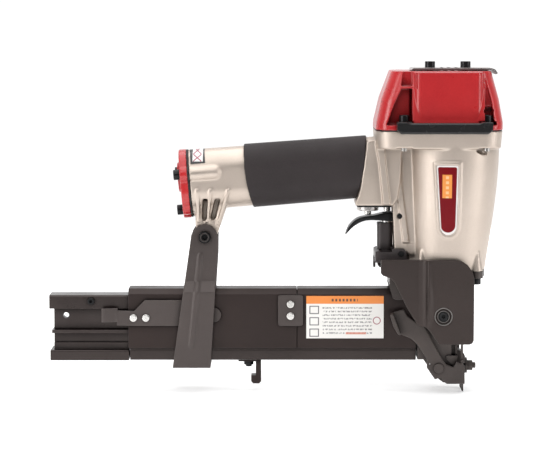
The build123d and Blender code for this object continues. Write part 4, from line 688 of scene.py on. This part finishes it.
# The lighter steel rings at the cover screw are a painted highlight: they stand in for the bright arcs on the
# screw dish and round the head.
COVER_SCREW = (-7.4, 61.6)
COVER_SEAT_Y, COVER_COLLAR_Y = 35.25, 34.75
for side, tag in ((-1, "left"), (1, "right")):
    centre = (COVER_SCREW[0], side * COVER_SEAT_Y, COVER_SCREW[1])
    turned("cover_seat_ring_" + tag, ring_profile(7.1, 0.55), centre, (0, side, 0), "ring_highlight_steel", "tool_body")
    inner = (COVER_SCREW[0], side * COVER_COLLAR_Y, COVER_SCREW[1])
    turned("cover_screw_collar_" + tag, ring_profile(4.7, 0.5), inner, (0, side, 0), "ring_highlight_steel",
           "tool_body")

STRAP_SCREW = (-205.4, 125.8)
STRAP_RIM_Y, STRAP_SEAT_Y = 18.35, 16.2
for side, tag in ((-1, "left"), (1, "right")):
    centre = (STRAP_SCREW[0], side * STRAP_RIM_Y, STRAP_SCREW[1])
    turned("strap_screw_rim_" + tag, ring_profile(3.3, 0.4), centre, (0, side, 0), "black_steel", "tool_body")
    seat = (STRAP_SCREW[0], side * STRAP_SEAT_Y, STRAP_SCREW[1])
    turned("strap_screw_seat_" + tag, ring_profile(5.3, 0.45), seat, (0, side, 0), "black_steel", "tool_body")

# ---------------------------------------------------------------- stage, light and camera

low, high = CAD_BOX
FLOOR_GAP = 0.0002
FLOOR_Z = low.z - FLOOR_GAP
FLOOR_LOW = (-1.3, -0.75)
FLOOR_HIGH = (1.0, 1.4)
floor_mesh = bpy.data.meshes.new("floor")
(left, front), (right, back) = FLOOR_LOW, FLOOR_HIGH
corners = [(left, front), (right, front), (right, back), (left, back)]
floor_mesh.from_pydata([(x, y, FLOOR_Z) for x, y in corners], [], [(0, 1, 2, 3)])
floor = bpy.data.objects.new("floor", floor_mesh)
bpy.context.scene.collection.objects.link(floor)
floor_graph = Graph("floor_paint")
floor_drift = floor_graph.span(floor_graph.noise(1.5), 0.3, 0.7)
floor_tone = floor_graph.mix(floor_drift, (0.93, 0.93, 0.93), (0.91, 0.91, 0.91))
floor_x, floor_y, _ = floor_graph.axes()
floor_glow = floor_graph.span(floor_graph.length(floor_x, floor_y), 0.4, 1.0, 0.40, 0.90)
floor_paint = floor_graph.set(Base_Color=floor_tone, Roughness=0.9, Specular_IOR_Level=0.1,
                              Emission_Color=(1.0, 1.0, 1.0, 1.0), Emission_Strength=floor_glow)
floor_mesh.materials.append(floor_paint)

world = bpy.data.worlds.new("studio")
bpy.context.scene.world = world
world.use_nodes = True
sky = world.node_tree
direction = sky.nodes.new("ShaderNodeTexCoord")
parts = sky.nodes.new("ShaderNodeSeparateXYZ")
sky.links.new(direction.outputs["Generated"], parts.inputs[0])
fade = sky.nodes.new("ShaderNodeMapRange")
fade.interpolation_type = "SMOOTHSTEP"
for socket, value in (("From Min", -0.2), ("From Max", 0.9), ("To Min", 0.10), ("To Max", 0.95)):
    fade.inputs[socket].default_value = value
sky.links.new(parts.outputs[1], fade.inputs[0])
glow = sky.nodes["Background"]
glow.inputs[0].default_value = (1.0, 1.0, 1.0, 1)
sky.links.new(fade.outputs[0], glow.inputs[1])
backdrop = sky.nodes.new("ShaderNodeBackground")
backdrop.inputs[0].default_value = (1.0, 1.0, 1.0, 1)
backdrop.inputs[1].default_value = 1.05
choice = sky.nodes.new("ShaderNodeMixShader")
rays = sky.nodes.new("ShaderNodeLightPath")
sky.links.new(rays.outputs["Is Camera Ray"], choice.inputs[0])
sky.links.new(glow.outputs[0], choice.inputs[1])
sky.links.new(backdrop.outputs[0], choice.inputs[2])
sky.links.new(choice.outputs[0], sky.nodes["World Output"].inputs[0])


def area_light(name, place, target, size, power, colour=(1, 1, 1)):
    data = bpy.data.lights.new(name, "AREA")
    data.shape = "RECTANGLE"
    data.size, data.size_y = size
    data.energy = power
    data.color = colour
    lamp = bpy.data.objects.new(name, data)
    bpy.context.scene.collection.objects.link(lamp)
    lamp.location = place
    lamp.rotation_euler = (Vector(target) - Vector(place)).to_track_quat("-Z", "Y").to_euler()
    return lamp


MIDDLE = (-0.15, 0.0, 0.14)
area_light("left_strip", (-1.3, -0.8, 0.55), MIDDLE, (0.5, 1.3), 11.0)
area_light("right_strip", (1.2, -0.6, 0.45), MIDDLE, (0.4, 1.3), 7.0)
area_light("front_soft", (-0.3, -1.5, 1.5), MIDDLE, (1.4, 0.7), 7.0)
area_light("top", (-0.1, 0.0, 1.3), MIDDLE, (1.6, 1.2), 14.0)

CAMERA_DISTANCE = 1.8
CAMERA_RISE = math.radians(5.7)
CAMERA_TARGET = Vector((-0.1468, 0.0, 0.1344))
camera_data = bpy.data.cameras.new("camera")
camera_data.sensor_width = 36.0
camera_data.lens = 140.26
camera = bpy.data.objects.new("camera", camera_data)
bpy.context.scene.collection.objects.link(camera)
camera.location = CAMERA_TARGET + Vector((0, -math.cos(CAMERA_RISE), math.sin(CAMERA_RISE))) * CAMERA_DISTANCE
camera.rotation_euler = (CAMERA_TARGET - camera.location).to_track_quat("-Z", "Y").to_euler()
bpy.context.scene.camera = camera
bpy.context.scene.view_settings.view_transform = "Standard"

bpy.context.view_layer.update()
